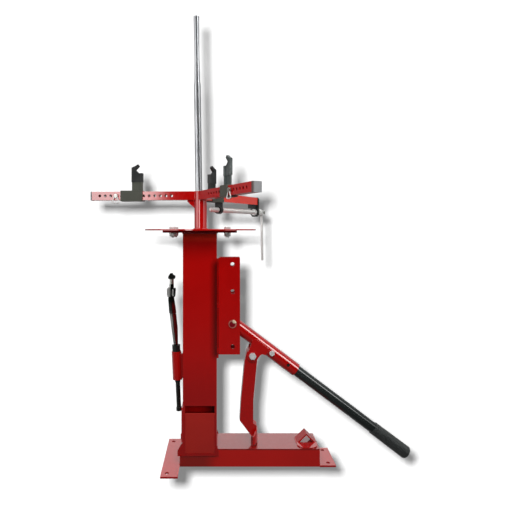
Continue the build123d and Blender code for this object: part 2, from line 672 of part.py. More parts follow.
# packing between column and bracket, with three wider crossbars
with BuildPart() as bracket_mount:
    with BuildSketch(Plane.YZ.offset(COLUMN_X / 2)):
        with Locations((0, MOUNT_Z)):
            Rectangle(MOUNT_WIDTH, MOUNT_HEIGHT)
        with Locations(*[(0, z) for z in MOUNT_BARS_Z]):
            Rectangle(MOUNT_BAR_WIDTH, MOUNT_BAR_HEIGHT)
    extrude(amount=BRACKET_X0 - COLUMN_X / 2)
save("bracket_mount", bracket_mount)


def facing_front(x, y, z):
    return Plane(origin=(x, y, z), x_dir=(1, 0, 0), z_dir=(0, -1, 0))


# bolt with a recess, off centre, in its round head
with BuildPart() as pivot_bolt:
    head_y = -BRACKET_WIDTH / 2
    with BuildSketch(facing_front(PIVOT_X, head_y, PIVOT_Z)):
        Circle(PIVOT_HEAD_RADIUS)
    extrude(amount=PIVOT_HEAD_THICKNESS)
    with BuildSketch(
        facing_front(
            PIVOT_X - PIVOT_RECESS_SHIFT,
            head_y - PIVOT_HEAD_THICKNESS,
            PIVOT_Z - PIVOT_RECESS_SHIFT,
        )
    ):
        Circle(PIVOT_RECESS_RADIUS)
    extrude(amount=-PIVOT_RECESS_DEPTH, mode=Mode.SUBTRACT)
    with BuildSketch(Plane(origin=(PIVOT_X, head_y, PIVOT_Z), z_dir=(0, 1, 0))):
        Circle(PIVOT_RADIUS)
    extrude(amount=PIVOT_BOLT_LENGTH)
save("pivot_bolt", pivot_bolt)

pivot_nut_plane = Plane(origin=(PIVOT_X, BRACKET_WIDTH / 2, PIVOT_Z), z_dir=(0, 1, 0))
save("pivot_nut", make_nut(pivot_nut_plane, PIVOT_HEX_RADIUS, BOLT_NUT_LENGTH))

# -------------------------------------------------------------------- lever
# distances along the lever are from its pivot
LEVER_WALL, LEVER_BACK, LEVER_TUBE_END = 2.2, -14.0, 184.0
LEVER_DRILL_DEPTH = 40
LEVER_END_HOLE, LEVER_END_HOLE_RADIUS = 160, 4
HANDLE_RADIUS, HANDLE_WALL, HANDLE_START, HANDLE_END = 12.4, 2, 100.0, 490.0
HANDLE_BOLT_AT, HANDLE_BOLT_RADIUS, HANDLE_BOLT_LENGTH = 113, 3.5, 38
HANDLE_HEX_RADIUS, HANDLE_HEAD_FRONT, HANDLE_HEAD_REAR = 6.5, 4.5, 5
GRIP_RADIUS, GRIP_TAPER, GRIP_START, GRIP_END, GRIP_FILLET = 14.8, 0.8, 408.0, 507.0, 4
LINK_PIVOT_ALONG, LINK_PIVOT_UP = 81.0, -31.4
EAR_THICKNESS, EAR_RADIUS = 3, 13.5
# (along the lever, up from its axis)
EAR_OUTLINE = ((60, -6), (65, 4), (104, 4), (104, -12), (96, -15), (92, -24), (70, -38))
EAR_INFILL = ((60, -6), (68, -30), (94, -30), (94, -6))
LINK_HEX_RADIUS, LINK_HEAD_HEIGHT, LINK_BOLT_LENGTH = 8.2, 5.5, 47
SPACER_RADIUS, SPACER_LENGTH = 8, 2.4

LEVER_ALONG = Vector(cos(radians(LEVER_ANGLE)), 0, -sin(radians(LEVER_ANGLE)))
LEVER_UP = Vector(sin(radians(LEVER_ANGLE)), 0, cos(radians(LEVER_ANGLE)))
LEVER_ORIGIN = Vector(PIVOT_X, 0, PIVOT_Z)
LINK_PIVOT = LEVER_ORIGIN + LEVER_ALONG * LINK_PIVOT_ALONG + LEVER_UP * LINK_PIVOT_UP


def lever_side(y=0.0):
    """Lever side view: local x along the lever, local y up, normal -Y."""
    return Plane(
        origin=LEVER_ORIGIN + Vector(0, y, 0), x_dir=LEVER_ALONG, z_dir=(0, -1, 0)
    )


def lever_section(distance):
    return Plane(
        origin=LEVER_ORIGIN + LEVER_ALONG * distance,
        x_dir=(0, 1, 0),
        z_dir=LEVER_ALONG,
    )


def link_pivot_plane(y, normal_y):
    """Across the link pivot; normal_y is -1 to face the front, 1 the rear."""
    return Plane(
        origin=LINK_PIVOT + Vector(0, y, 0), x_dir=(1, 0, 0), z_dir=(0, normal_y, 0)
    )


with BuildPart() as lever_tube:
    with BuildSketch(lever_section(LEVER_BACK)):
        Circle(LEVER_SIZE / 2)
        Circle(LEVER_SIZE / 2 - LEVER_WALL, mode=Mode.SUBTRACT)
    extrude(amount=LEVER_TUBE_END - LEVER_BACK)
    with BuildSketch(lever_side(LEVER_DRILL_DEPTH / 2)):
        Circle(PIVOT_RADIUS + RUNNING_GAP)
        with Locations((HANDLE_BOLT_AT, 0)):
            Circle(HANDLE_BOLT_RADIUS)
        with Locations((LEVER_END_HOLE, 0)):
            Circle(LEVER_END_HOLE_RADIUS)
    extrude(amount=LEVER_DRILL_DEPTH, mode=Mode.SUBTRACT)
save("lever_tube", lever_tube)

# two plates beside the tube, carrying the link pivot
with BuildPart() as lever_ears:
    for face_y in (-LEVER_SIZE / 2, LEVER_SIZE / 2 + EAR_THICKNESS):
        with BuildSketch(lever_side(face_y)):
            with BuildLine():
                Polyline(*EAR_OUTLINE, close=True)
            make_face()
            with Locations((LINK_PIVOT_ALONG, LINK_PIVOT_UP)):
                Circle(EAR_RADIUS)
            with BuildLine():
                Polyline(*EAR_INFILL, close=True)
            make_face()
            with Locations((LINK_PIVOT_ALONG, LINK_PIVOT_UP)):
                Circle(PIVOT_RADIUS, mode=Mode.SUBTRACT)
        extrude(amount=EAR_THICKNESS)
save("lever_ears", lever_ears)

with BuildPart() as handle_tube:
    with BuildSketch(lever_section(HANDLE_START)):
        Circle(HANDLE_RADIUS)
        Circle(HANDLE_RADIUS - HANDLE_WALL, mode=Mode.SUBTRACT)
    extrude(amount=HANDLE_END - HANDLE_START)
    with BuildSketch(lever_side(LEVER_DRILL_DEPTH / 2)):
        with Locations((HANDLE_BOLT_AT, 0)):
            Circle(HANDLE_BOLT_RADIUS)
    extrude(amount=LEVER_DRILL_DEPTH, mode=Mode.SUBTRACT)
save("handle_tube", handle_tube)

# tapered grip with a rounded end, hollow from its narrow end
with BuildPart() as handle_grip:
    with BuildSketch(lever_section(GRIP_START)) as narrow:
        Circle(GRIP_RADIUS - GRIP_TAPER)
    with BuildSketch(lever_section(GRIP_END)) as wide:
        Circle(GRIP_RADIUS)
    loft(sections=[narrow.sketch.face(), wide.sketch.face()])
    faces_along = handle_grip.faces().sort_by(
        Axis(tuple(LEVER_ORIGIN), tuple(LEVER_ALONG))
    )
    fillet(faces_along[-1].edges(), GRIP_FILLET)
    with BuildSketch(lever_section(GRIP_START)):
        Circle(HANDLE_RADIUS)
    extrude(amount=HANDLE_END - GRIP_START, mode=Mode.SUBTRACT)
save("handle_grip", handle_grip)

# cross bolt with a hexagon at each side of the lever tube
with BuildPart() as handle_bolt:
    with BuildSketch(lever_side(HANDLE_BOLT_LENGTH / 2)):
        with Locations((HANDLE_BOLT_AT, 0)):
            Circle(HANDLE_BOLT_RADIUS)
    extrude(amount=HANDLE_BOLT_LENGTH)
    for face_y, length in (
        (-LEVER_SIZE / 2, HANDLE_HEAD_FRONT),
        (LEVER_SIZE / 2, -HANDLE_HEAD_REAR),
    ):
        with BuildSketch(lever_side(face_y)):
            with Locations((HANDLE_BOLT_AT, 0)):
                RegularPolygon(HANDLE_HEX_RADIUS, 6)
        extrude(amount=length)
save("handle_bolt", handle_bolt)

EAR_FACE_Y = LEVER_SIZE / 2 + EAR_THICKNESS

with BuildPart() as link_bolt:
    with BuildSketch(link_pivot_plane(-EAR_FACE_Y, -1)):
        RegularPolygon(LINK_HEX_RADIUS, 6)
    extrude(amount=LINK_HEAD_HEIGHT)
    with BuildSketch(link_pivot_plane(-EAR_FACE_Y, 1)):
        Circle(PIVOT_RADIUS)
    extrude(amount=LINK_BOLT_LENGTH)
save("link_bolt", link_bolt)

save(
    "link_nut",
    make_nut(link_pivot_plane(EAR_FACE_Y, 1), LINK_HEX_RADIUS, BOLT_NUT_LENGTH),
)

# spacers inside the ears
with BuildPart() as link_spacers:
    for spacer_y, inward in ((-LEVER_SIZE / 2, 1), (LEVER_SIZE / 2, -1)):
        with BuildSketch(link_pivot_plane(spacer_y, inward)):
            Circle(SPACER_RADIUS)
            Circle(PIVOT_RADIUS, mode=Mode.SUBTRACT)
        extrude(amount=SPACER_LENGTH)
save("link_spacers", link_spacers)

# ------------------------------------------------------------ link and shoe
SHOE_HALF_WIDTH, SHOE_END_X, SHOE_MIDDLE_X = 32.0, 119.0, 129.0
SHOE_Z0, SHOE_Z1, SHOE_THICKNESS = 44.0, 71.0, 3.4
SHOE_CUT_X, SHOE_CUT_LENGTH = SHOE_END_X - 10, 40
# (distance from the middle, z) of the piece cut off each upper corner
SHOE_CORNER = ((33, SHOE_Z1 + 1), (20, SHOE_Z1 + 1), (29, SHOE_Z1 - 6), (33, SHOE_Z1 - 9))

LINK_WIDTH, LINK_INNER_WIDTH = 25, 19
LINK_X, LINK_Z = LINK_PIVOT.X, LINK_PIVOT.Z
# (x, z); the upper points follow the link pivot
LINK_OUTLINE = (
    (LINK_X - 13, LINK_Z + 8), (LINK_X - 8, LINK_Z + 13),
    (LINK_X + 7, LINK_Z + 13), (LINK_X + 11.5, LINK_Z + 6),
    (LINK_X + 10.5, LINK_Z - 14), (122.0, 140), (121.5, 86), (129.5, 80),
    (129.5, 56), (118.0, 56), (90.5, 92), (LINK_X - 26.5, 140),
    (LINK_X - 18, LINK_Z - 12),
)
LINK_HOLLOW = (
    (LINK_X - 14.5, LINK_Z - 12), (LINK_X + 7.5, LINK_Z - 12), (119.0, 140),
    (118.0, 70), (100, 70), (93.8, 93), (LINK_X - 23.3, 140),
)
LINK_SLOT_X, LINK_SLOT_LENGTH, LINK_SLOT_Z, LINK_SLOT_HEIGHT = 106, 16, 50, 35
LINK_DRILL_DEPTH = 40

with BuildPart() as breaker_shoe:
    with BuildSketch(Plane.XY.offset(SHOE_Z0)):
        with BuildLine():
            inner_arc = ThreePointArc(
                (SHOE_END_X, -SHOE_HALF_WIDTH),
                (SHOE_MIDDLE_X, 0),
                (SHOE_END_X, SHOE_HALF_WIDTH),
            )
            outer_arc = ThreePointArc(
                (SHOE_END_X + SHOE_THICKNESS, -SHOE_HALF_WIDTH),
                (SHOE_MIDDLE_X + SHOE_THICKNESS, 0),
                (SHOE_END_X + SHOE_THICKNESS, SHOE_HALF_WIDTH),
            )
            Line(inner_arc @ 0, outer_arc @ 0)
            Line(inner_arc @ 1, outer_arc @ 1)
        make_face()
    extrude(amount=SHOE_Z1 - SHOE_Z0)
    with BuildSketch(Plane.YZ.offset(SHOE_CUT_X)):
        for side in (-1, 1):
            with BuildLine():
                Polyline(*[(side * y, z) for y, z in SHOE_CORNER], close=True)
            make_face()
    extrude(amount=SHOE_CUT_LENGTH, mode=Mode.SUBTRACT)
save("breaker_shoe", breaker_shoe)

# hollow link from the lever ears down to the shoe
with BuildPart() as breaker_link:
    with BuildSketch(front_plane(LINK_WIDTH)):
        with BuildLine():
            Polyline(*LINK_OUTLINE, close=True)
        make_face()
    extrude(amount=-LINK_WIDTH)
    with BuildSketch(front_plane(LINK_INNER_WIDTH)):
        with BuildLine():
            Polyline(*LINK_HOLLOW, close=True)
        make_face()
    extrude(amount=-LINK_INNER_WIDTH, mode=Mode.SUBTRACT)
    with BuildSketch(Plane.XY.offset(LINK_SLOT_Z)):
        with Locations((LINK_SLOT_X, 0)):
            Rectangle(LINK_SLOT_LENGTH, LINK_INNER_WIDTH)
    extrude(amount=LINK_SLOT_HEIGHT, mode=Mode.SUBTRACT)
    with BuildSketch(link_pivot_plane(-LINK_DRILL_DEPTH / 2, 1)):
        Circle(PIVOT_RADIUS + RUNNING_GAP)
    extrude(amount=LINK_DRILL_DEPTH, mode=Mode.SUBTRACT)
    add(breaker_shoe.part, mode=Mode.SUBTRACT)
save("breaker_link", breaker_link)

# -------------------------------------------------------------- stored tool
TOOL_X, TOOL_REF_Z, TOOL_LEAN = -55.0, 216.0, 2.6
TOOL_DIRECTION = Vector(-sin(radians(TOOL_LEAN)), 0, cos(radians(TOOL_LEAN)))
TOOL_SLEEVE_Z0, TOOL_SLEEVE_LENGTH, TOOL_SLEEVE_RADIUS = 184.0, 65.0, 11
TOOL_BORE_Z0, TOOL_BORE_LENGTH = TOOL_SLEEVE_Z0 - 5, 80
TOOL_WEB_WIDTH, TOOL_WEB_X, TOOL_WEB_Z0, TOOL_WEB_Z1 = 10, -52, 188, 244
TOOL_GUIDE_RADIUS, TOOL_NECK_RADIUS = 6.3, 5.2
TOOL_COLLAR_RADIUS, TOOL_COLLAR_LENGTH = 9.3, 15

BLADE_WIDTH, SHANK_WIDTH, HUB_WIDTH, HUB_CORE_WIDTH, KNOB_WIDTH = 9, 11, 12, 6, 10
BLADE_TOP, SHANK_TOP, KNOB_STEM_Z = 337, 376, 405
# (x, z) outlines of the tool head, from the bottom up
BLADE_OUTLINE = (
    (-62.3, 262), (-67.7, 301.5), (-72.0, BLADE_TOP),
    (-57.2, BLADE_TOP), (-53.5, 301.5), (-52.8, 262),
)
SHANK_OUTLINE = (
    (-72.8, BLADE_TOP), (-75.4, 372), (-74, SHANK_TOP),
    (-62.5, SHANK_TOP), (-61.8, 372), (-56.6, BLADE_TOP),
)
HUB_LEFT_OUTLINE = (
    (-76.5, SHANK_TOP), (-78, 380), (-78, 394), (-75, 397.5), (-69.2, 397.5),
    (-69.2, SHANK_TOP),
)
HUB_RIGHT_OUTLINE = (
    (-63.5, SHANK_TOP), (-64.0, 395), (-59.5, 396.5), (-58, 392), (-59.5, SHANK_TOP),
)
HUB_CORE_CENTER, HUB_CORE_X, HUB_CORE_Z = (-66.6, 386.5), 7, 21
HUB_NECK_X, HUB_NECK_Z, HUB_NECK_RADIUS = -67.8, 397, 5.4
KNOB_STEM_X, KNOB_STEM_RADIUS, KNOB_STEM_HEIGHT = -67.3, 4.6, 14
KNOB_OUTLINE = (
    (-75.5, 419), (-74.5, 424.5), (-70.5, 430.5), (-65.5, 430.5), (-64.0, 427),
    (-59.0, 424.5), (-59.0, 419), (-62, 416.5), (-72.5, 416.5),
)


def tool_plane(z):
    """Across the tool rod where its axis is at height z."""
    along = (z - TOOL_REF_Z) / TOOL_DIRECTION.Z
    return Plane(
        origin=Vector(TOOL_X, 0, TOOL_REF_Z) + TOOL_DIRECTION * along,
        z_dir=TOOL_DIRECTION,
    )


# leaning sleeve and the web that joins it to the column
with BuildPart() as tool_sleeve:
    with BuildSketch(front_plane(TOOL_WEB_WIDTH)):
        with BuildLine():
            Polyline(
                (-COLUMN_X / 2, TOOL_WEB_Z0),
                (-COLUMN_X / 2, TOOL_WEB_Z1),
                (TOOL_WEB_X, TOOL_WEB_Z1),
                (TOOL_WEB_X, TOOL_WEB_Z0),
                close=True,
            )
        make_face()
    extrude(amount=-TOOL_WEB_WIDTH)
    with BuildSketch(tool_plane(TOOL_SLEEVE_Z0)):
        Circle(TOOL_SLEEVE_RADIUS)
    extrude(amount=TOOL_SLEEVE_LENGTH)
    with BuildSketch(tool_plane(TOOL_BORE_Z0)):
        Circle(TOOL_GUIDE_RADIUS + RUNNING_GAP)
    extrude(amount=TOOL_BORE_LENGTH, mode=Mode.SUBTRACT)
save("tool_sleeve", tool_sleeve)

# rod through the sleeve, its collar resting on the sleeve's top
sleeve_top = (
    tool_plane(TOOL_SLEEVE_Z0).origin + TOOL_DIRECTION * TOOL_SLEEVE_LENGTH
)
collar_plane = Plane(origin=sleeve_top, z_dir=TOOL_DIRECTION)
# plane, radius, length
ROD_SECTIONS = (
    (tool_plane(111), TOOL_GUIDE_RADIUS, 8),
    (tool_plane(117), TOOL_NECK_RADIUS, 66),
    (tool_plane(178), TOOL_GUIDE_RADIUS, 75),
    (collar_plane, TOOL_COLLAR_RADIUS, TOOL_COLLAR_LENGTH),
)
with BuildPart() as tool_rod:
    for plane, radius, length in ROD_SECTIONS:
        with BuildSketch(plane):
            Circle(radius)
        extrude(amount=length)
save("tool_rod", tool_rod)

with BuildPart() as tool_blade:
    with BuildSketch(front_plane(BLADE_WIDTH)):
        with BuildLine():
            Polyline(*BLADE_OUTLINE, close=True)
        make_face()
    extrude(amount=-BLADE_WIDTH)
    add(tool_rod.part, mode=Mode.SUBTRACT)
save("tool_blade", tool_blade)

with BuildPart() as tool_shank:
    with BuildSketch(front_plane(SHANK_WIDTH)):
        with BuildLine():
            Polyline(*SHANK_OUTLINE, close=True)
        make_face()
    extrude(amount=-SHANK_WIDTH)
save("tool_shank", tool_shank)

# two side pieces joined by a thinner core, with a round neck on top
with BuildPart() as tool_hub:
    with BuildSketch(front_plane(HUB_WIDTH)):
        for outline in (HUB_LEFT_OUTLINE, HUB_RIGHT_OUTLINE):
            with BuildLine():
                Polyline(*outline, close=True)
            make_face()
    extrude(amount=-HUB_WIDTH)
    with BuildSketch(front_plane(HUB_CORE_WIDTH)):
        with Locations(HUB_CORE_CENTER):
            Rectangle(HUB_CORE_X, HUB_CORE_Z)
    extrude(amount=-HUB_CORE_WIDTH)
    with BuildSketch(Plane.XY.offset(HUB_NECK_Z)):
        with Locations((HUB_NECK_X, 0)):
            Circle(HUB_NECK_RADIUS)
    extrude(amount=KNOB_STEM_Z - HUB_NECK_Z)
save("tool_hub", tool_hub)

with BuildPart() as tool_knob:
    with BuildSketch(Plane.XY.offset(KNOB_STEM_Z)):
        with Locations((KNOB_STEM_X, 0)):
            Circle(KNOB_STEM_RADIUS)
    extrude(amount=KNOB_STEM_HEIGHT)
    with BuildSketch(front_plane(KNOB_WIDTH)):
        with BuildLine():
            Polyline(*KNOB_OUTLINE, close=True)
        make_face()
    extrude(amount=-KNOB_WIDTH)
save("tool_knob", tool_knob)
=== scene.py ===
import json
import math

import bmesh
import bpy
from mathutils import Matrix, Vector


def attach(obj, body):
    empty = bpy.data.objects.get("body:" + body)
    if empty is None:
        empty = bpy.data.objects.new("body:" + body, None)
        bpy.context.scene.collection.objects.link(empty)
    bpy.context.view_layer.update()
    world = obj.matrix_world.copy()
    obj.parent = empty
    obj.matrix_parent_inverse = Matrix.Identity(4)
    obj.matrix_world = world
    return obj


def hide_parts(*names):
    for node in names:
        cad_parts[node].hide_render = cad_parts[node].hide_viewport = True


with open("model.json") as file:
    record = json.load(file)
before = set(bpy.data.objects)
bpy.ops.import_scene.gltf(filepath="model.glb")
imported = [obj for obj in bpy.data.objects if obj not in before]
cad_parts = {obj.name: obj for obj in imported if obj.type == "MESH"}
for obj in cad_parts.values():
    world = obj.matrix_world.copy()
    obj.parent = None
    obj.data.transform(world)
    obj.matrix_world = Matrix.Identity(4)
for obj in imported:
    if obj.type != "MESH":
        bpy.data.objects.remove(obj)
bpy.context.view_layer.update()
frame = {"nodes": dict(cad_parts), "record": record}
NODES = frame["nodes"]
MM = 0.001

PIVOT = Vector((74, 0, 316))  # centre of the lever's pivot
LEVER_SLOPE = math.radians(36.9)  # below the horizontal
LEVER_ALONG = Vector((math.cos(LEVER_SLOPE), 0, -math.sin(LEVER_SLOPE)))
LEVER_UP = Vector((math.sin(LEVER_SLOPE), 0, math.cos(LEVER_SLOPE)))
ARMS = {"left": 176.5, "front": -64.0, "rear": 56.5}  # degrees from +X, seen from above


# ---------------------------------------------------------------- shader helpers
def connect(tree, target, inputs):
    """Fills a node's inputs, given by name or index, with sockets or plain values."""
    for key, value in inputs.items():
        if isinstance(value, bpy.types.NodeSocket):
            tree.links.new(value, target.inputs[key])
        else:
            target.inputs[key].default_value = value


def node(tree, kind, inputs=None, **props):
    made = tree.nodes.new(kind)
    for key, value in props.items():
        setattr(made, key, value)
    connect(tree, made, inputs or {})
    return made


def find(tree, kind):
    return next(item for item in tree.nodes if item.type == kind)


def new_material(name):
    mat = bpy.data.materials.new(name)
    mat.use_nodes = True
    tree = mat.node_tree
    tree.nodes.clear()
    out = node(tree, "ShaderNodeOutputMaterial")
    bsdf = node(tree, "ShaderNodeBsdfPrincipled")
    connect(tree, out, {"Surface": bsdf.outputs["BSDF"]})
    return mat, tree, bsdf


def srgb(red, green, blue):
    """Linear RGBA from 0-255 sRGB values."""

    def linear(value):
        value /= 255.0
        return value / 12.92 if value <= 0.04045 else ((value + 0.055) / 1.055) ** 2.4

    return (linear(red), linear(green), linear(blue), 1.0)


def object_coords(tree):
    return node(tree, "ShaderNodeTexCoord").outputs["Object"]


def axes_of(tree, vector):
    return node(tree, "ShaderNodeSeparateXYZ", {0: vector}).outputs


def noise(tree, coords, scale, detail=4.0, rough=0.55, stretch=None):
    if stretch is not None:
        mapping = node(tree, "ShaderNodeMapping", {"Vector": coords, "Scale": stretch})
        coords = mapping.outputs["Vector"]
    inputs = {"Scale": scale, "Detail": detail, "Roughness": rough, "Vector": coords}
    return node(tree, "ShaderNodeTexNoise", inputs).outputs["Fac"]


def remap(tree, value, span, to=(0.0, 1.0), kind="LINEAR"):
    """Maps the span (start, end) of a value onto another, clamped."""
    inputs = {
        "From Min": span[0],
        "From Max": span[1],
        "To Min": to[0],
        "To Max": to[1],
        "Value": value,
    }
    return node(tree, "ShaderNodeMapRange", inputs, interpolation_type=kind).outputs["Result"]


def smoothstep(tree, value, start, end):
    return remap(tree, value, span=(start, end), kind="SMOOTHSTEP")


def mix_colour(tree, factor, first, second):
    inputs = {"Factor": factor, 6: first, 7: second}
    return node(tree, "ShaderNodeMix", inputs, data_type="RGBA").outputs[2]


def maths(tree, operation, first, second=0.0):
    return node(tree, "ShaderNodeMath", {0: first, 1: second}, operation=operation).outputs[0]


def times(tree, first, second):
    return maths(tree, "MULTIPLY", first, second)


def plus(tree, first, second):
    return maths(tree, "ADD", first, second)


def minus(tree, first, second):
    return maths(tree, "SUBTRACT", first, second)


def bevel_normal(tree, radius):
    return node(tree, "ShaderNodeBevel", {"Radius": radius}, samples=4).outputs["Normal"]


def relief(tree, bsdf, *layers):
    """Rounds the corners, then adds bumps given as (height, strength, distance)."""
    normal = bevel_normal(tree, radius=0.0006)
    for height, strength, distance in layers:
        inputs = {
            "Strength": strength,
            "Distance": distance,
            "Height": height,
            "Normal": normal,
        }
        normal = node(tree, "ShaderNodeBump", inputs).outputs["Normal"]
    connect(tree, bsdf, {"Normal": normal})


def edges(tree):
    """1 on corners and 0 on flats, from how far a rounded normal leans away."""
    rounded = bevel_normal(tree, radius=0.0011)
    flat = node(tree, "ShaderNodeNewGeometry").outputs["Normal"]
    dot = node(tree, "ShaderNodeVectorMath", {0: rounded, 1: flat}, operation="DOT_PRODUCT")
    return remap(tree, dot.outputs["Value"], span=(0.88, 0.995), to=(1.0, 0.0))


# -------------------------------------------------------------- material recipes
def painted(name, base, deep, worn, rough=0.5, coat=0.9, coat_rough=0.07, coat_ior=1.9,
            peel=0.05, metallic=0.0, specular=0.1):
    """Sprayed paint: slow colour drift, orange peel, specks, thinner edges."""
    mat, tree, bsdf = new_material(name)
    coords = object_coords(tree)
    drift = noise(tree, coords, scale=6.0, detail=3.0)
    fine = noise(tree, coords, scale=90.0, detail=5.0)
    grain = noise(tree, coords, scale=900.0, detail=2.0)
    deepening = remap(tree, drift, span=(0.35, 0.7))
    colour = mix_colour(tree, deepening, srgb(*base), srgb(*deep))
    thin = times(tree, edges(tree), remap(tree, fine, span=(0.4, 0.7), to=(0.1, 0.75)))
    connect(tree, bsdf, {
        "Base Color": mix_colour(tree, thin, colour, srgb(*worn)),
        "Roughness": remap(tree, fine, span=(0.3, 0.7), to=(rough - 0.05, rough + 0.08)),
        "Metallic": metallic,
        "Coat Weight": coat,
        "Coat Roughness": coat_rough,
        "Coat IOR": coat_ior,
        "Specular IOR Level": specular,
    })
    relief(tree, bsdf, (fine, peel, 0.0006), (grain, peel * 0.6, 0.0002))
    return mat


def metal(name, base, dark, rough=0.3, streak=(6, 6, 0.8), scratch=0.08, metallic=1.0):
    """Bare or plated metal: streaked roughness, faint stains, fine scratches."""
    mat, tree, bsdf = new_material(name)
    coords = object_coords(tree)
    lines = noise(tree, coords, scale=260.0, rough=0.6, stretch=streak)
    cloud = noise(tree, coords, scale=22.0)
    grain = noise(tree, coords, scale=1400.0, detail=2.0)
    stain = remap(tree, cloud, span=(0.35, 0.75))
    streaks = remap(tree, lines, span=(0.3, 0.7), to=(rough - 0.05, rough + 0.09))
    haze = remap(tree, cloud, span=(0.4, 0.8), to=(0.0, 0.06))
    connect(tree, bsdf, {
        "Base Color": mix_colour(tree, stain, srgb(*base), srgb(*dark)),
        "Metallic": metallic,
        "Roughness": plus(tree, streaks, haze),
    })
    relief(tree, bsdf, (lines, scratch, 0.0003), (grain, scratch * 0.6, 0.0002))
    return mat


def plastic(name, base, pale, rough=0.5, grain_scale=700.0, grain_strength=0.15, sheen=0.0):
    """Moulded plastic or rubber: pebble grain, scuffed paler edges."""
    mat, tree, bsdf = new_material(name)
    coords = object_coords(tree)
    cloud = noise(tree, coords, scale=30.0)
    pebble = node(tree, "ShaderNodeTexVoronoi", {"Scale": grain_scale, "Vector": coords})
    fine = noise(tree, coords, scale=grain_scale * 1.7, detail=3.0)
    scuff = times(tree, edges(tree), remap(tree, cloud, span=(0.4, 0.65), to=(0.15, 0.8)))
    paling = plus(tree, scuff, remap(tree, cloud, span=(0.5, 0.8), to=(0.0, 0.35)))
    connect(tree, bsdf, {
        "Base Color": mix_colour(tree, paling, srgb(*base), srgb(*pale)),
        "Roughness": remap(tree, fine, span=(0.3, 0.7), to=(rough - 0.06, rough + 0.08)),
        "Sheen Weight": sheen,
    })
    pebbles = (pebble.outputs["Distance"], grain_strength, 0.0005)
    relief(tree, bsdf, pebbles, (fine, grain_strength * 0.6, 0.0003))
    return mat


RED_COLOURS = dict(base=(178, 5, 3), deep=(166, 2, 1), worn=(206, 66, 56))
# a thin, dull coat over a half-metallic ground
CLAMP_FINISH = dict(
    coat=0.1, coat_rough=0.3, coat_ior=1.5, peel=0.14, metallic=0.3, specular=0.3
)

# slot name: (recipe, its settings)
SLOT_RECIPES = {
    "red_paint": (painted, RED_COLOURS),
    "zinc": (metal, dict(base=(205, 205, 200), dark=(168, 168, 160), streak=(1, 1, 1))),
    "bar_chrome": (metal, dict(
        base=(192, 194, 196), dark=(160, 162, 165), rough=0.27, streak=(8, 8, 0.25), scratch=0.1
    )),
    "tool_steel": (metal, dict(base=(150, 150, 148), dark=(112, 112, 108), rough=0.34)),
    "clamp_coat": (painted, dict(
        base=(82, 84, 76), deep=(66, 69, 60), worn=(128, 129, 122), **CLAMP_FINISH
    )),
    "black_cover": (plastic, dict(base=(24, 26, 26), pale=(70, 72, 71))),
    "grey_cap": (plastic, dict(
        base=(128, 129, 130), pale=(165, 166, 166), grain_scale=500.0, grain_strength=0.12
    )),
    "black_oxide": (painted, dict(
        base=(38, 41, 39), deep=(26, 29, 27), worn=(92, 94, 90), rough=0.42, coat=0.2,
        coat_rough=0.2, coat_ior=1.5, peel=0.12, metallic=0.4, specular=0.3
    )),
    "black_paint": (painted, dict(
        base=(38, 43, 42), deep=(28, 32, 31), worn=(80, 84, 83), coat=0.7, coat_ior=1.6,
        peel=0.03
    )),
    "grip_rubber": (plastic, dict(
        base=(36, 39, 38), pale=(64, 68, 67), rough=0.6, grain_scale=420.0,
        grain_strength=0.25, sheen=0.1
    )),
}
BY_SLOT = {slot: recipe(slot, **values) for slot, (recipe, values) in SLOT_RECIPES.items()}


# --------------------------------------------------------------- local recolouring
def recolour(mat, factor_of, colour):
    """Mixes another colour over a material's own wherever factor_of(tree) is high."""
    tree = mat.node_tree
    bsdf = find(tree, "BSDF_PRINCIPLED")
    source = bsdf.inputs["Base Color"].links[0].from_socket
    mixed = mix_colour(tree, factor_of(tree), source, srgb(*colour))
    connect(tree, bsdf, {"Base Color": mixed})


def recolour_box(mat, colour, strength=None, **sides):
    """Recolours a soft box of object space.

    Sides are named x_min, x_max and so on, each given as (millimetres, softness inward).
    """

    def inside(tree):
        at = axes_of(tree, object_coords(tree))
        factor = None
        for axis in "XYZ":
            for end, inward in (("min", 1), ("max", -1)):
                side = f"{axis.lower()}_{end}"
                if side not in sides:
                    continue
                value, width = sides[side]
                fade = smoothstep(tree, at[axis], value * MM, (value + inward * width) * MM)
                factor = fade if factor is None else times(tree, factor, fade)
        return factor if strength is None else times(tree, factor, strength)

    recolour(mat, inside, colour)


def hollow_shade(tree):
    """High inside holes and tubes, from the object's own occlusion: the mask for painted shade
    there.
    """
    occlusion = node(
        tree, "ShaderNodeAmbientOcclusion", {"Distance": 9 * MM}, samples=4, only_local=True
    )
    return remap(tree, occlusion.outputs["AO"], span=(0.62, 0.3), to=(0.0, 0.95))


def tool_across(tree, low, high):
    """Rises from low to high across the leaning tool, 0 at its left edge, 1 at its right."""
    foot_z, foot_left, foot_width = 262 * MM, -62.5 * MM, 10.2 * MM
    lean, widening = 0.118, 0.043  # per unit of height
    at = axes_of(tree, object_coords(tree))
    height = minus(tree, at["Z"], foot_z)
    left = minus(tree, foot_left, times(tree, height, lean))
    width = plus(tree, foot_width, times(tree, height, widening))
    across = maths(tree, "DIVIDE", minus(tree, at["X"], left), width)
    return remap(tree, across, span=(low, high))


def tool_dark_reflection_band(tree):
    """A narrow band just left of the middle of the leaning tool, where a dark reflection is
    painted.
    """
    fade = minus(tree, 1.0, tool_across(tree, low=0.46, high=0.58))
    return times(tree, tool_across(tree, low=0.36, high=0.44), fade)


def pivot_within(tree, x, z, inner, outer):
    """1 within the inner radius of a point in the XZ plane, 0 beyond the outer one (mm)."""
    at = axes_of(tree, object_coords(tree))
    squares = []
    for axis, centre in (("X", x), ("Z", z)):
        offset = maths(tree, "ABSOLUTE", minus(tree, at[axis], centre * MM))
        squares.append(maths(tree, "POWER", offset, 2.0))
    distance = maths(tree, "SQRT", plus(tree, *squares))
    return remap(tree, distance, span=(inner * MM, outer * MM), to=(1.0, 0.0))
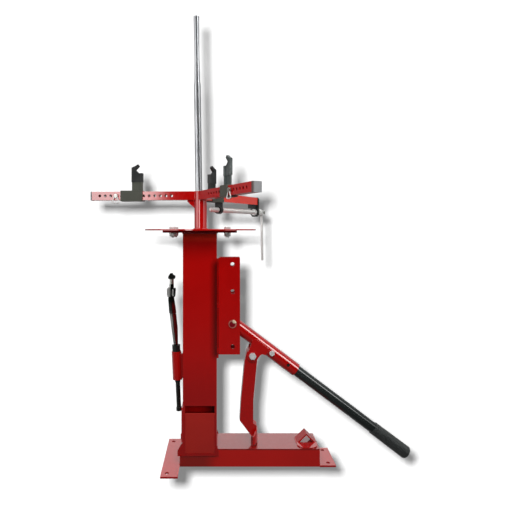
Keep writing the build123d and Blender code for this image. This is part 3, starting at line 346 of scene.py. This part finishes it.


# painted light: a brighter, more orange copy of the red paint, for the rear arm, which stands
# in more light
RED_LIT = painted(
    "red_paint_lit", base=(232, 58, 40), deep=(220, 48, 32), worn=(244, 140, 118),
    coat_rough=0.1, coat_ior=1.7,
)
RED_PANEL = painted(
    "red_paint_panel", base=(176, 30, 20), deep=(162, 25, 17), worn=(190, 60, 50),
    coat_rough=0.1, specular=0.15,
)

RED_COLUMN = painted("red_paint_column", **RED_COLOURS)
# painted shade: a dark strip on the column's right side, beside the bracket
recolour_box(
    RED_COLUMN, (18, 0, 0), strength=0.82,
    x_min=(18, 20), y_max=(-30, 12), z_min=(234, 22), z_max=(474, 26),
)
# painted shade: the column darker towards the bottom, as light falls from above
recolour_box(RED_COLUMN, (100, 0, 0), strength=0.3, z_max=(330, 170))
# painted light: the column's top, under the flange's shadow, brighter
recolour_box(RED_COLUMN, (255, 52, 26), strength=0.85, z_min=(500, 20))

# painted light: a brighter copy of the red paint, for the base
RED_BASE = painted("red_paint_base", base=(196, 17, 7), deep=(184, 12, 5), worn=(212, 76, 64))
# painted shade: the left of the base's front, under the column, darker
recolour_box(RED_BASE, (110, 20, 12), strength=0.7, x_max=(48, 44), z_max=(37, 4))
# painted shade: the base's top face darker
recolour_box(RED_BASE, (96, 10, 8), strength=0.65, z_min=(36.5, 1.2))

RED_ARM = painted(
    "red_paint_arm", base=(176, 8, 8), deep=(160, 4, 5), worn=(214, 84, 80), coat=0.42
)
# painted shade: the front arm darkened inside its holes and tube
recolour(RED_ARM, hollow_shade, (16, 0, 0))

# the stored tool: polished steel on its left, a painted reflection of the red column on its
# right, a painted dark reflection band just left of its middle, dark grey to black higher up
TOOL_PAINTED_REFLECTIONS = metal("tool_steel_painted_reflections", base=(206, 206, 202), dark=(176, 176, 170))
recolour_box(TOOL_PAINTED_REFLECTIONS, (70, 74, 72), z_min=(326, 20))
# painted reflection of the red column on the tool's right side
recolour(TOOL_PAINTED_REFLECTIONS, lambda tree: tool_across(tree, low=0.4, high=0.56), (122, 22, 20))
# painted dark reflection in a band just left of the tool's middle
recolour(TOOL_PAINTED_REFLECTIONS, tool_dark_reflection_band, (40, 26, 24))
recolour_box(TOOL_PAINTED_REFLECTIONS, (22, 24, 20), z_min=(352, 16))

# dark from x = -71 rightwards, with one bright patch
HUB_MARKED = metal("tool_hub_marked", base=(206, 206, 204), dark=(180, 180, 176))
recolour_box(HUB_MARKED, (20, 21, 20), x_min=(-71, 1.5))
recolour_box(
    HUB_MARKED, (226, 226, 222),
    x_min=(-66.6, 0.8), x_max=(-62.4, 0.8), z_min=(377, 2), z_max=(394, 2),
)

KNOB_MARKED = metal("tool_knob_marked", base=(44, 46, 44), dark=(34, 36, 34))
recolour_box(KNOB_MARKED, (170, 168, 162), z_max=(419, 4))

# the pivot's head: a pale ring, a red recess darkened by painted shade, and a painted highlight
# on one bright side
PIVOT_ZINC = metal(
    "pivot_zinc", base=(196, 128, 112), dark=(178, 104, 92), streak=(8, 8, 8), scratch=0.06,
    metallic=0.3,
)
recolour(
    PIVOT_ZINC,
    lambda tree: minus(
        tree, 1.0, pivot_within(tree, x=PIVOT.x, z=PIVOT.z, inner=8.8, outer=9.4)
    ),
    (150, 16, 14),
)
# the pin's red in the recess, darkened by painted shade
recolour(
    PIVOT_ZINC,
    lambda tree: pivot_within(tree, x=73, z=315, inner=6.2, outer=7.4),
    (128, 4, 24),
)
# painted highlight: a bright spot on the ring's upper right
recolour(
    PIVOT_ZINC,
    lambda tree: pivot_within(tree, x=78.2, z=322, inner=3.6, outer=5.6),
    (255, 238, 206),
)

COVER_PALE = plastic("cover_pale", base=(54, 60, 59), pale=(140, 148, 146), rough=0.45)
CAP_SHADED = plastic(
    "cap_shaded", base=(118, 119, 120), pale=(160, 161, 161), grain_scale=500.0,
    grain_strength=0.12,
)
# painted shade: the front arm's end cap darkened on its left part, up to x = 109 mm
recolour_box(CAP_SHADED, (58, 38, 32), strength=0.85, x_min=(80, 1), x_max=(109, 4))

BOLT_ZINC = metal(
    "bolt_zinc", base=(236, 236, 233), dark=(214, 215, 212), rough=0.34, streak=(8, 8, 8),
    scratch=0.06, metallic=0.4,
)
JAW_DARK = painted(
    "clamp_coat_dark", base=(40, 42, 39), deep=(30, 32, 29), worn=(92, 94, 90), **CLAMP_FINISH
)
JAW_GREY = painted(
    "clamp_coat_grey", base=(78, 86, 84), deep=(62, 70, 68), worn=(140, 146, 144),
    **CLAMP_FINISH
)

# ---------------------------------------------------------- finish on the CAD pieces
SLOT_OF = {part["node"]: part["material_slot"] for part in frame["record"]["subparts"]}

# pieces whose material is not their slot's own
PAINT_OF = {
    "clamp_jaw_rear": JAW_DARK,
    "clamp_jaw_front": JAW_GREY,
    "arm_rear": RED_LIT,
    "pocket_panel": RED_PANEL,
    "column_tube": RED_COLUMN,
    "base_channel": RED_BASE,
    "arm_front": RED_ARM,
    "tool_blade": TOOL_PAINTED_REFLECTIONS,
    "tool_shank": TOOL_PAINTED_REFLECTIONS,
    "tool_hub": HUB_MARKED,
    "tool_knob": KNOB_MARKED,
    "pivot_bolt": PIVOT_ZINC,
    "jaw_cover_front": COVER_PALE,
    "arm_end_caps": CAP_SHADED,
}
for name in (
    "table_nuts", "table_bolts", "link_bolt", "handle_bolt", "crank_handle", "crank_fork",
    "pin_bail_left", "pin_bail_front",
):
    PAINT_OF[name] = BOLT_ZINC

# edge rounding in mm, where it is not the default
DEFAULT_BEVEL = 0.5
BEVEL = {
    "jaw_cover_left": 0.8, "jaw_cover_front": 0.8, "jaw_cover_rear": 0.8,
    "tool_blade": 1.4, "tool_shank": 1.5, "tool_hub": 1.0, "tool_knob": 1.5,
    "demount_bar": 1.0, "arm_end_caps": 0.7, "crank_handle": 0.7,
    "pin_bail_left": 0.0, "pin_bail_front": 0.0,
}

# pieces with holes, whose edges are split instead of rounded
HOLED = {
    "left_foot_plate", "right_foot_plate", "arm_left", "arm_front", "arm_rear",
    "lever_bracket", "column_flange", "support_disc", "column_tube", "base_channel",
    "bead_rest", "lever_tube", "handle_tube", "lever_ears", "breaker_link", "breaker_shoe",
    "screw_bracket", "screw_nut", "heel_stiffener", "center_post", "table_washers",
    "table_nuts", "pivot_bolt", "pivot_nut", "link_nut", "link_spacers", "tool_sleeve",
    "crank_fork", "crank_pin", "clamp_sleeve_left", "clamp_sleeve_front",
    "clamp_sleeve_rear", "lock_pin_left", "lock_pin_front",
}


def soften(obj, width):
    """Joins the mesh's split corners, then rounds its sharp edges where that is clean."""
    for polygon in obj.data.polygons:
        polygon.use_smooth = True
    joined = obj.modifiers.new("weld", "WELD")
    joined.merge_threshold = 0.000004
    if width > 0 and obj.name not in HOLED:
        bevel = obj.modifiers.new("bevel", "BEVEL")
        bevel.width = width * MM
        bevel.segments = 2
        bevel.limit_method = "ANGLE"
        bevel.angle_limit = math.radians(35)
        bevel.use_clamp_overlap = True
        normals = obj.modifiers.new("normals", "WEIGHTED_NORMAL")
        normals.keep_sharp = True
        normals.weight = 80
    else:
        split = obj.modifiers.new("split", "EDGE_SPLIT")
        split.split_angle = math.radians(32)
        split.use_edge_sharp = False


for name, obj in NODES.items():
    obj.data.materials.clear()
    obj.data.materials.append(PAINT_OF.get(name, BY_SLOT[SLOT_OF[name]]))
    soften(obj, BEVEL.get(name, DEFAULT_BEVEL))


# -------------------------------------------------------------------- mesh helpers
def add_mesh(name, verts, faces, mat, body, smooth=True):
    """Adds an object that moves with the named body."""
    mesh = bpy.data.meshes.new(name)
    mesh.from_pydata([tuple(vert) for vert in verts], [], faces)
    mesh.materials.append(mat)
    edit = bmesh.new()
    edit.from_mesh(mesh)
    bmesh.ops.recalc_face_normals(edit, faces=edit.faces)
    edit.to_mesh(mesh)
    edit.free()
    for polygon in mesh.polygons:
        polygon.use_smooth = smooth
    mesh.update()
    obj = bpy.data.objects.new(name, mesh)
    bpy.context.scene.collection.objects.link(obj)
    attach(obj, body)
    return obj


def frame_of(direction):
    """Two unit vectors square to a direction, and the direction itself."""
    axis = Vector(direction).normalized()
    helper = Vector((0, 0, 1)) if abs(axis.z) < 0.9 else Vector((1, 0, 0))
    across = axis.cross(helper).normalized()
    return across, axis.cross(across).normalized(), axis


def ring_faces(rings, sides):
    """Quads joining each ring of vertices to the next."""
    faces = []
    for i in range(rings - 1):
        low, high = i * sides, (i + 1) * sides
        for k in range(sides):
            m = (k + 1) % sides
            faces.append((low + k, low + m, high + m, high + k))
    return faces


def turned(name, origin, axes, rows, sides, mat, body, smooth=True):
    """A capped body of rings around an axis.

    axes is (across, up, along); a row is (distance along, function from side to radius).
    """
    across, up, along = axes
    verts = []
    for distance, radius_of in rows:
        for k in range(sides):
            turn = 2 * math.pi * k / sides
            spoke = across * math.cos(turn) + up * math.sin(turn)
            verts.append((origin + along * distance + spoke * radius_of(k)) * MM)
    faces = ring_faces(len(rows), sides)
    faces.append(tuple(reversed(range(sides))))
    faces.append(tuple((len(rows) - 1) * sides + k for k in range(sides)))
    return add_mesh(name, verts, faces, mat, body, smooth)


def plain_rows(profile):
    """Round rows from (distance, radius) pairs."""
    return [(distance, lambda k, radius=radius: radius) for distance, radius in profile]


def azimuth(degrees):
    """Unit vectors outward along an arm and level across it."""
    turn = math.radians(degrees)
    outward = Vector((math.cos(turn), math.sin(turn), 0))
    return outward, Vector((-math.sin(turn), math.cos(turn), 0))


# --------------------------------------------------------------------- weld beads
BEAD_SIDES = 8
BEAD_STEP = 0.0011  # metres between a bead's rings


def bead_path(run):
    """Closely spaced points along a run of corners in mm."""
    points = []
    for start, end in zip(run, run[1:]):
        start, end = Vector(start) * MM, Vector(end) * MM
        count = max(2, int((end - start).length / BEAD_STEP))
        first = 1 if points else 0
        points += [start.lerp(end, i / count) for i in range(first, count + 1)]
    return points


def bead_radii(count, radius, phase):
    """Rippled radii that taper at both ends."""
    radii = []
    for i in range(count):
        ripple = 0.18 * abs(math.sin(i * 0.62 + phase))
        drift = 0.05 * math.sin(i * 0.17 + phase * 2)
        taper = min(1.0, (min(i, count - 1 - i) + 1.2) / 3.2)
        radii.append(radius * (0.82 + ripple + drift) * taper)
    return radii


def bead_mesh(points, radii):
    last = len(points) - 1
    verts = []
    across = None
    for i, point in enumerate(points):
        along = (points[min(i + 1, last)] - points[max(i - 1, 0)]).normalized()
        if across is None:
            across = frame_of(along)[0]
        across = (across - along * across.dot(along)).normalized()
        up = along.cross(across)
        for k in range(BEAD_SIDES):
            turn = 2 * math.pi * k / BEAD_SIDES
            spoke = across * math.cos(turn) + up * math.sin(turn)
            verts.append(point + spoke * radii[i])
    faces = ring_faces(len(points), BEAD_SIDES)
    faces.append(tuple(range(BEAD_SIDES)))
    faces.append(tuple(last * BEAD_SIDES + k for k in reversed(range(BEAD_SIDES))))
    return verts, faces


def weld(name, runs, body, radius, slot="red_paint"):
    """One object holding several beads; a run is a list of points in mm."""
    verts, faces = [], []
    for i, run in enumerate(runs):
        points = bead_path(run)
        bead_verts, bead_faces = bead_mesh(points, bead_radii(len(points), radius, i * 1.3))
        base = len(verts)
        verts += bead_verts
        faces += [tuple(index + base for index in face) for face in bead_faces]
    obj = add_mesh(name, verts, faces, BY_SLOT[slot], body)


def circle_run(centre, normal, radius, steps=48):
    across, up, _ = frame_of(normal)
    points = []
    for i in range(steps + 1):
        turn = math.radians(360.0 * i / steps)
        spoke = across * math.cos(turn) + up * math.sin(turn)
        points.append(Vector(centre) + spoke * radius)
    return points


def arm_point(arm, outward, side, z):
    along, across = azimuth(ARMS[arm])
    return along * outward + across * side + Vector((0, 0, z))


def arm_runs(arm):
    """Two upright beads beside an arm's root and one level bead under it."""
    runs = [
        [arm_point(arm, 11.6, side * 10.3, z) for z in (601.5, 619.5)] for side in (-1, 1)
    ]
    runs.append([arm_point(arm, 14.6, side, 600.2) for side in (-8, 8)])
    return runs


def lever_point(along, up, y):
    return PIVOT + LEVER_ALONG * along + LEVER_UP * up + Vector((0, y, 0))


weld(
    "weld_column_foot",
    [[(38.6, -39, 40.6), (38.6, 39, 40.6)]]
    + [[(-36, y, 24.6), (36, y, 24.6)] for y in (-40.9, 40.9)],
    "stand",
    radius=0.0013,
)
weld(
    "weld_column_head",
    [[(-37, y, 524.4), (37, y, 524.4)] for y in (-43.4, 43.4)]
    + [[(x, -42, 524.4), (x, 42, 524.4)] for x in (38.4, -38.4)],
    "stand",
    radius=0.0018,
)
weld("weld_post_foot", [circle_run((0, 0, 533.6), (0, 0, 1), 15.2)], "stand", radius=0.0019)
weld("weld_arms", [run for arm in ARMS for run in arm_runs(arm)], "stand", radius=0.0017)
weld(
    "weld_bracket",
    [
        [(x, side * 15.4, z - 4.5), (x, side * 15.4, z + 4.5)]
        for x in (41.6, 38.5)
        for z in (253, 357, 461)
        for side in (-1, 1)
    ],
    "stand",
    radius=0.0013,
)
weld(
    "weld_foot_plates",
    [[(x, -39, 4.4), (x, 39, 4.4)] for x in (-45.3, 269.4)],
    "stand",
    radius=0.0017,
)
weld(
    "weld_bead_rest",
    [[(x, -12, 40.4), (x, 17, 40.4)] for x in (221.0, 267.0)],
    "stand",
    radius=0.0013,
)

# pairs of upright beads, mirrored across y = 0: name, x, half gap, z from, z to, body, radius
UPRIGHT_PAIRS = [
    ("weld_tool_sleeve", -38.6, 5.3, 189, 243, "stand", 0.0013),
    ("weld_heel", -38.6, 35.3, 54, 128, "stand", 0.0013),
    ("weld_shoe", 126.9, 12.9, 57, 69.5, "link", 0.0014),
]
for name, x, half_gap, bottom, top, body, radius in UPRIGHT_PAIRS:
    runs = [[(x, side * half_gap, bottom), (x, side * half_gap, top)] for side in (-1, 1)]
    weld(name, runs, body, radius)

# beads around the ears, as pairs of (along the lever, above its axis)
EAR_RUNS = [((66, 4.3), (104, 4.3)), ((61, -5), (64.8, 3.4)), ((104.3, 3.6), (104.3, -9))]
weld(
    "weld_ears",
    [[lever_point(*end, y) for end in run] for y in (-14.9, 14.9) for run in EAR_RUNS],
    "lever",
    radius=0.0012,
)

JAW_START = {"left": 134.5, "front": 126.8, "rear": 33.0}  # distance out along each arm
for arm, start in JAW_START.items():
    runs = [
        [arm_point(arm, start + offset, side * 2.4, 623.0) for offset in (7, 26)]
        for side in (-1, 1)
    ]
    weld(f"weld_jaw_{arm}", runs, f"{arm}_clamp", 0.0011, slot="clamp_coat")


# ------------------------------------------------------------ sheet behind the slot
def pocket_shade():
    """Red with painted shade that darkens it towards +X, and darker blotches."""
    mat, tree, bsdf = new_material("pocket_shade")
    coords = object_coords(tree)
    rightward = remap(tree, axes_of(tree, coords)["X"], span=(0.004, 0.028))
    colour = mix_colour(tree, rightward, srgb(166, 6, 5), srgb(62, 2, 2))
    blotch = noise(tree, coords, scale=60.0, detail=3.0)
    dirt = remap(tree, blotch, span=(0.4, 0.8), to=(0.0, 0.5))
    connect(tree, bsdf, {
        "Base Color": mix_colour(tree, dirt, colour, srgb(60, 3, 2)),
        "Roughness": remap(tree, blotch, span=(0.3, 0.7), to=(0.5, 0.7)),
        "Specular IOR Level": 0.1,
    })
    relief(tree, bsdf, (blotch, 0.1, 0.0004))
    return mat


def pocket_lining():
    """A thin sloping sheet, drawn as its (y, z) section between two x ends."""
    half_width = 35.0
    section = [(-38.6, 137.2), (-31.0, 119.0), (-30.2, 119.0), (-37.8, 137.2)]
    verts = [
        (x * MM, y * MM, z * MM) for x in (-half_width, half_width) for y, z in section
    ]
    faces = [(0, 1, 2, 3), (4, 5, 6, 7), (0, 1, 5, 4), (1, 2, 6, 5), (2, 3, 7, 6), (3, 0, 4, 7)]
    lining = add_mesh("pocket_lining", verts, faces, pocket_shade(), "stand", smooth=False)


pocket_lining()


# -------------------------------------------------------------------- clamp screw
def clamp_screw():
    """The threaded rod under the rear arm, with two collars at its outer end."""
    sides = 24
    pitch, rows_per_pitch = 2.0, 8
    thread_start, thread_end = 43.0, 249.0
    root_radius, thread_height = 5.15, 0.8
    # (distance along, radius)
    tip = [(40.2, 3.6), (41.2, 4.7), (42.4, 5.1)]
    collars = [
        (249.2, 5.9), (249.9, 5.9), (249.9, 8.2), (250.6, 9.0), (254.2, 9.0), (254.9, 8.4),
        (254.9, 5.9), (261.1, 5.9), (261.1, 9.0), (261.6, 9.5), (266.4, 9.5), (267.1, 8.9),
        (267.1, 6.0), (272.0, 6.0),
    ]

    def thread_row(distance):
        def radius_of(k):
            phase = (distance / pitch - k / sides) % 1.0
            crest = 1.0 - abs(2 * phase - 1.0)
            return root_radius + thread_height * min(1.0, max(0.0, crest * 1.5 - 0.15))

        return distance, radius_of

    length = thread_end - thread_start
    steps = int(length / pitch * rows_per_pitch)
    thread = [thread_row(thread_start + length * i / steps) for i in range(steps + 1)]
    along, across = azimuth(ARMS["rear"])
    screw = turned(
        "threaded_clamp_screw",
        Vector((0, 0, 580.5)),
        (across, Vector((0, 0, 1)), along),
        plain_rows(tip) + thread + plain_rows(collars),
        sides,
        BOLT_ZINC,
        "spindle",
        smooth=False,
    )
    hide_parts("clamp_screw")


clamp_screw()


# --------------------------------------------------------------------------- grip
def ribbed_grip():
    """The ribbed grip at the lever's end; distances run from the pivot."""
    ribs_start, rib_pitch, groove_depth = 412, 4, 0.45
    end_start, end_radius, corner = 503.0, 14.7, 4.0
    profile = [(408.0, 12.5), (408.4, 13.4), (409.4, 14.0)]
    for s in range(ribs_start, 497, rib_pitch):
        swell = 14.0 + 0.7 * (s - ribs_start) / 88.0
        groove = swell - groove_depth
        profile += [(s, swell), (s + 2.4, swell), (s + 2.9, groove), (s + 3.5, groove)]
    profile += [(500.0, end_radius), (end_start, end_radius)]
    for k in range(1, 7):
        turn = math.radians(15 * k)
        profile.append((end_start + corner * math.sin(turn), 10.7 + corner * math.cos(turn)))
    profile.append((end_start + corner, 5.0))
    grip = turned(
        "ribbed_grip", PIVOT, frame_of(LEVER_ALONG), plain_rows(profile), 56,
        BY_SLOT["grip_rubber"], "lever",
    )
    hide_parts("handle_grip")


ribbed_grip()

# -------------------------------------------------------------------------- stage
EYE = (0.046, -1.075, 0.531)  # the camera's place
FLOOR_HALF, FLOOR_Z = 9, -0.0003
FLOOR_GLOW = 0.56
CARD_Y, CARD_HALF, CARD_BOTTOM, CARD_TOP = 2.9, 3.4, -3.2, 3.4
# the card's lamp sits just behind, left of and above the camera
CARD_LAMP = (EYE[0] - 0.031, EYE[1] - 0.02, EYE[2] + 0.033)
CARD_AIM = (CARD_LAMP[0], CARD_Y, CARD_LAMP[2])


def seen_from_front(tree):
    """1 when a point is looked at from the main camera's place, 0 from anywhere else."""
    point = node(tree, "ShaderNodeNewGeometry").outputs
    to_eye = node(
        tree, "ShaderNodeVectorMath", {0: EYE, 1: point["Position"]}, operation="SUBTRACT"
    )
    unit = node(
        tree, "ShaderNodeVectorMath", {0: to_eye.outputs["Vector"]}, operation="NORMALIZE"
    )
    dot = node(
        tree,
        "ShaderNodeVectorMath",
        {0: unit.outputs["Vector"], 1: point["Incoming"]},
        operation="DOT_PRODUCT",
    )
    return maths(tree, "GREATER_THAN", dot.outputs["Value"], 0.99999)


def not_seen_from_front(tree):
    return minus(tree, 1.0, seen_from_front(tree))


def stage_sheet(name, verts, albedo, glow, clear_of):
    """A pale glowing sheet that only the camera sees, clear where clear_of(tree) is 1."""
    mesh = bpy.data.meshes.new(name)
    mesh.from_pydata(verts, [], [(0, 1, 2, 3)])
    obj = bpy.data.objects.new(name, mesh)
    bpy.context.scene.collection.objects.link(obj)
    mat, tree, bsdf = new_material(name + "_white")
    mottle = remap(tree, noise(tree, object_coords(tree), scale=1.2, detail=2.0), (0.3, 0.7))
    dark, pale = ((tone, tone, tone, 1) for tone in (albedo, albedo * 1.03))
    connect(tree, bsdf, {
        "Base Color": mix_colour(tree, mottle, dark, pale),
        "Roughness": 1.0,
        "Specular IOR Level": 0.0,
        "Emission Color": (1, 1, 1, 1),
        "Emission Strength": glow,
    })
    mesh.materials.append(mat)
    clear = node(tree, "ShaderNodeBsdfTransparent").outputs["BSDF"]
    mix = node(
        tree, "ShaderNodeMixShader", {"Fac": clear_of(tree), 1: bsdf.outputs["BSDF"], 2: clear}
    )
    connect(tree, find(tree, "OUTPUT_MATERIAL"), {"Surface": mix.outputs["Shader"]})
    for flag in ("diffuse", "glossy", "transmission", "shadow"):
        setattr(obj, "visible_" + flag, False)
    return obj, tree, bsdf


def studio_floor():
    """The floor; the main view sees the pale card through it."""
    corners = [(-1, -1), (1, -1), (1, 1), (-1, 1)]
    verts = [(x * FLOOR_HALF, y * FLOOR_HALF, FLOOR_Z) for x, y in corners]
    floor, tree, bsdf = stage_sheet("studio_floor", verts, 0.5, FLOOR_GLOW, seen_from_front)
    # Further out the floor brightens into the background, so no horizon shows.
    position = node(tree, "ShaderNodeNewGeometry").outputs["Position"]
    reach = node(tree, "ShaderNodeVectorMath", {0: position}, operation="LENGTH")
    glow = remap(tree, reach.outputs["Value"], span=(1.0, 5.0), to=(FLOOR_GLOW, 1.06))
    connect(tree, bsdf, {"Emission Strength": glow})
    return floor


def shadow_card():
    """A far pale card that catches the soft shadow seen in the main view only."""
    verts = [
        (-CARD_HALF, CARD_Y, CARD_BOTTOM), (CARD_HALF, CARD_Y, CARD_BOTTOM),
        (CARD_HALF, CARD_Y, CARD_TOP), (-CARD_HALF, CARD_Y, CARD_TOP),
    ]
    card, tree, bsdf = stage_sheet("shadow_card", verts, 0.25, 0.17, not_seen_from_front)
    # Its tone rises away from the lamp's axis, so the small lamp lights it evenly.
    position = node(tree, "ShaderNodeNewGeometry").outputs["Position"]
    offset = node(
        tree, "ShaderNodeVectorMath", {0: position, 1: CARD_AIM}, operation="DISTANCE"
    )
    slope = maths(tree, "DIVIDE", offset.outputs["Value"], CARD_Y - CARD_LAMP[1])
    spread = plus(tree, maths(tree, "POWER", slope, 2.0), 1.0)
    spread = maths(tree, "POWER", spread, 2.0)
    plain = bsdf.inputs["Base Color"].links[0].from_socket
    tone = node(
        tree, "ShaderNodeVectorMath", {0: plain, "Scale": spread}, operation="SCALE"
    )
    connect(tree, bsdf, {"Base Color": tone.outputs["Vector"]})
    return card


floor = studio_floor()
card = shadow_card()

# -------------------------------------------------------------------------- world
# Soft patches seen in shiny surfaces, in degrees of azimuth (0 at -Y, + towards +X) and
# elevation: azimuth from, to, elevation from, to, brightness, azimuth and elevation softness
PANELS = [
    (-82, -46, -8, 38, 2.1, 5.0, 6.0),
    (42, 62, 22, 46, 7.0, 3.0, 4.0),
    (54, 76, -8, 22, 1.1, 4.0, 4.0),
    (-27, -16, -4, 7, 5.0, 3.0, 4.0),
]


def studio_world():
    """Plain white to the camera, soft panels to shiny surfaces, dim to matt ones."""
    world = bpy.data.worlds.new("studio")
    world.use_nodes = True
    tree = world.node_tree
    tree.nodes.clear()
    out = node(tree, "ShaderNodeOutputWorld")
    background = node(tree, "ShaderNodeBackground")
    connect(tree, out, {"Surface": background.outputs["Background"]})
    ray = axes_of(tree, node(tree, "ShaderNodeTexCoord").outputs["Generated"])
    degrees = 180 / math.pi
    turn = maths(tree, "ARCTAN2", ray["X"], times(tree, ray["Y"], -1.0))
    around = times(tree, turn, degrees)
    height = times(tree, maths(tree, "ARCSINE", ray["Z"]), degrees)
    away = maths(tree, "ABSOLUTE", around)

    def band(value, start, end, soft):
        fade = minus(tree, 1.0, smoothstep(tree, value, end, end + soft))
        return times(tree, smoothstep(tree, value, start - soft, start), fade)

    def rise(value, start, end, brightness):
        return times(tree, smoothstep(tree, value, start, end), brightness)

    # behind the object and above the horizon
    behind = times(tree, smoothstep(tree, away, 118, 150), smoothstep(tree, height, 10, 20))
    shiny = times(tree, behind, 0.8)
    sides = rise(away, start=60, end=95, brightness=0.33)
    below = minus(tree, 0.075, rise(height, start=-24, end=-2, brightness=0.069))
    parts = [sides, below]
    for left, right, bottom, top, brightness, soft, height_soft in PANELS:
        patch = times(
            tree, band(around, left, right, soft), band(height, bottom, top, height_soft)
        )
        parts.append(times(tree, patch, brightness))
    parts.append(rise(height, start=48, end=65, brightness=0.7))
    for part in parts:
        shiny = plus(tree, shiny, part)

    path = node(tree, "ShaderNodeLightPath").outputs
    matt = plus(tree, 0.07, rise(height, start=-20, end=25, brightness=0.2))
    strength = times(tree, path["Is Glossy Ray"], shiny)
    strength = plus(tree, strength, times(tree, path["Is Camera Ray"], 1.05))
    strength = plus(tree, strength, times(tree, path["Is Diffuse Ray"], matt))
    connect(tree, background, {"Color": (1, 1, 1, 1), "Strength": strength})
    bpy.context.scene.world = world


studio_world()

# ------------------------------------------------------------------------- lights
object_only = bpy.data.collections.new("light_reaches_object")
for i, sheet in enumerate((card, floor)):
    object_only.objects.link(sheet)
    object_only.collection_objects[i].light_linking.link_state = "EXCLUDE"
only_card = bpy.data.collections.new("light_reaches_card")
only_card.objects.link(card)
only_floor = bpy.data.collections.new("light_reaches_floor")
only_floor.objects.link(floor)

# name, place, target, size, watts, what it lights
LIGHTS = [
    ("key", (0.12, -0.85, 0.86), (0.05, 0, 0.35), (0.5, 0.5), 7.4, object_only),
    ("fill", (2.2, -0.1, 1.1), (0.1, 0, 0.4), (1.6, 1.8), 15, object_only),
    ("side_fill", (-2.2, 0.1, 1.1), (0.1, 0, 0.4), (1.6, 1.8), 13, object_only),
    ("top", (0.1, 0.1, 2.6), (0.1, 0, 0.4), (2.6, 2.2), 20, object_only),
    ("back_fill", (0.0, 2.4, 1.4), (0.05, 0, 0.4), (2.4, 2.0), 22, object_only),
    ("card_light", CARD_LAMP, CARD_AIM, (0.03, 0.03), 545, only_card),
    ("floor_light", (-0.5, 0.55, 2.4), (0.1, 0, 0), (1.4, 1.4), 60, only_floor),
]


def place_aimed(name, data, place, direction):
    """Adds a light or camera that points along a direction."""
    obj = bpy.data.objects.new(name, data)
    obj.location = place
    obj.rotation_mode = "QUATERNION"
    obj.rotation_quaternion = direction.to_track_quat("-Z", "Y")
    bpy.context.scene.collection.objects.link(obj)
    return obj


for name, place, target, size, watts, receivers in LIGHTS:
    light = bpy.data.lights.new(name, "AREA")
    light.shape = "RECTANGLE"
    light.size, light.size_y = size
    light.energy = watts
    lamp = place_aimed(name, light, place, Vector(target) - Vector(place))
    lamp.visible_glossy = False
    lamp.visible_camera = False
    lamp.light_linking.receiver_collection = receivers

# ------------------------------------------------------------------------- camera
camera = bpy.data.cameras.new("camera")
camera.lens = 32.440078125  # mm, on a sensor 36 mm wide
camera.sensor_width = 36.0
camera.shift_x = 0.06953125
camera.shift_y = -0.05078125
camera.clip_start, camera.clip_end = 0.01, 50.0
scene = bpy.context.scene
scene.camera = place_aimed("camera", camera, EYE, Vector((0, 1, 0)))
scene.view_settings.view_transform = "Standard"
scene.view_settings.look = "None"
scene.view_settings.exposure = 0.0
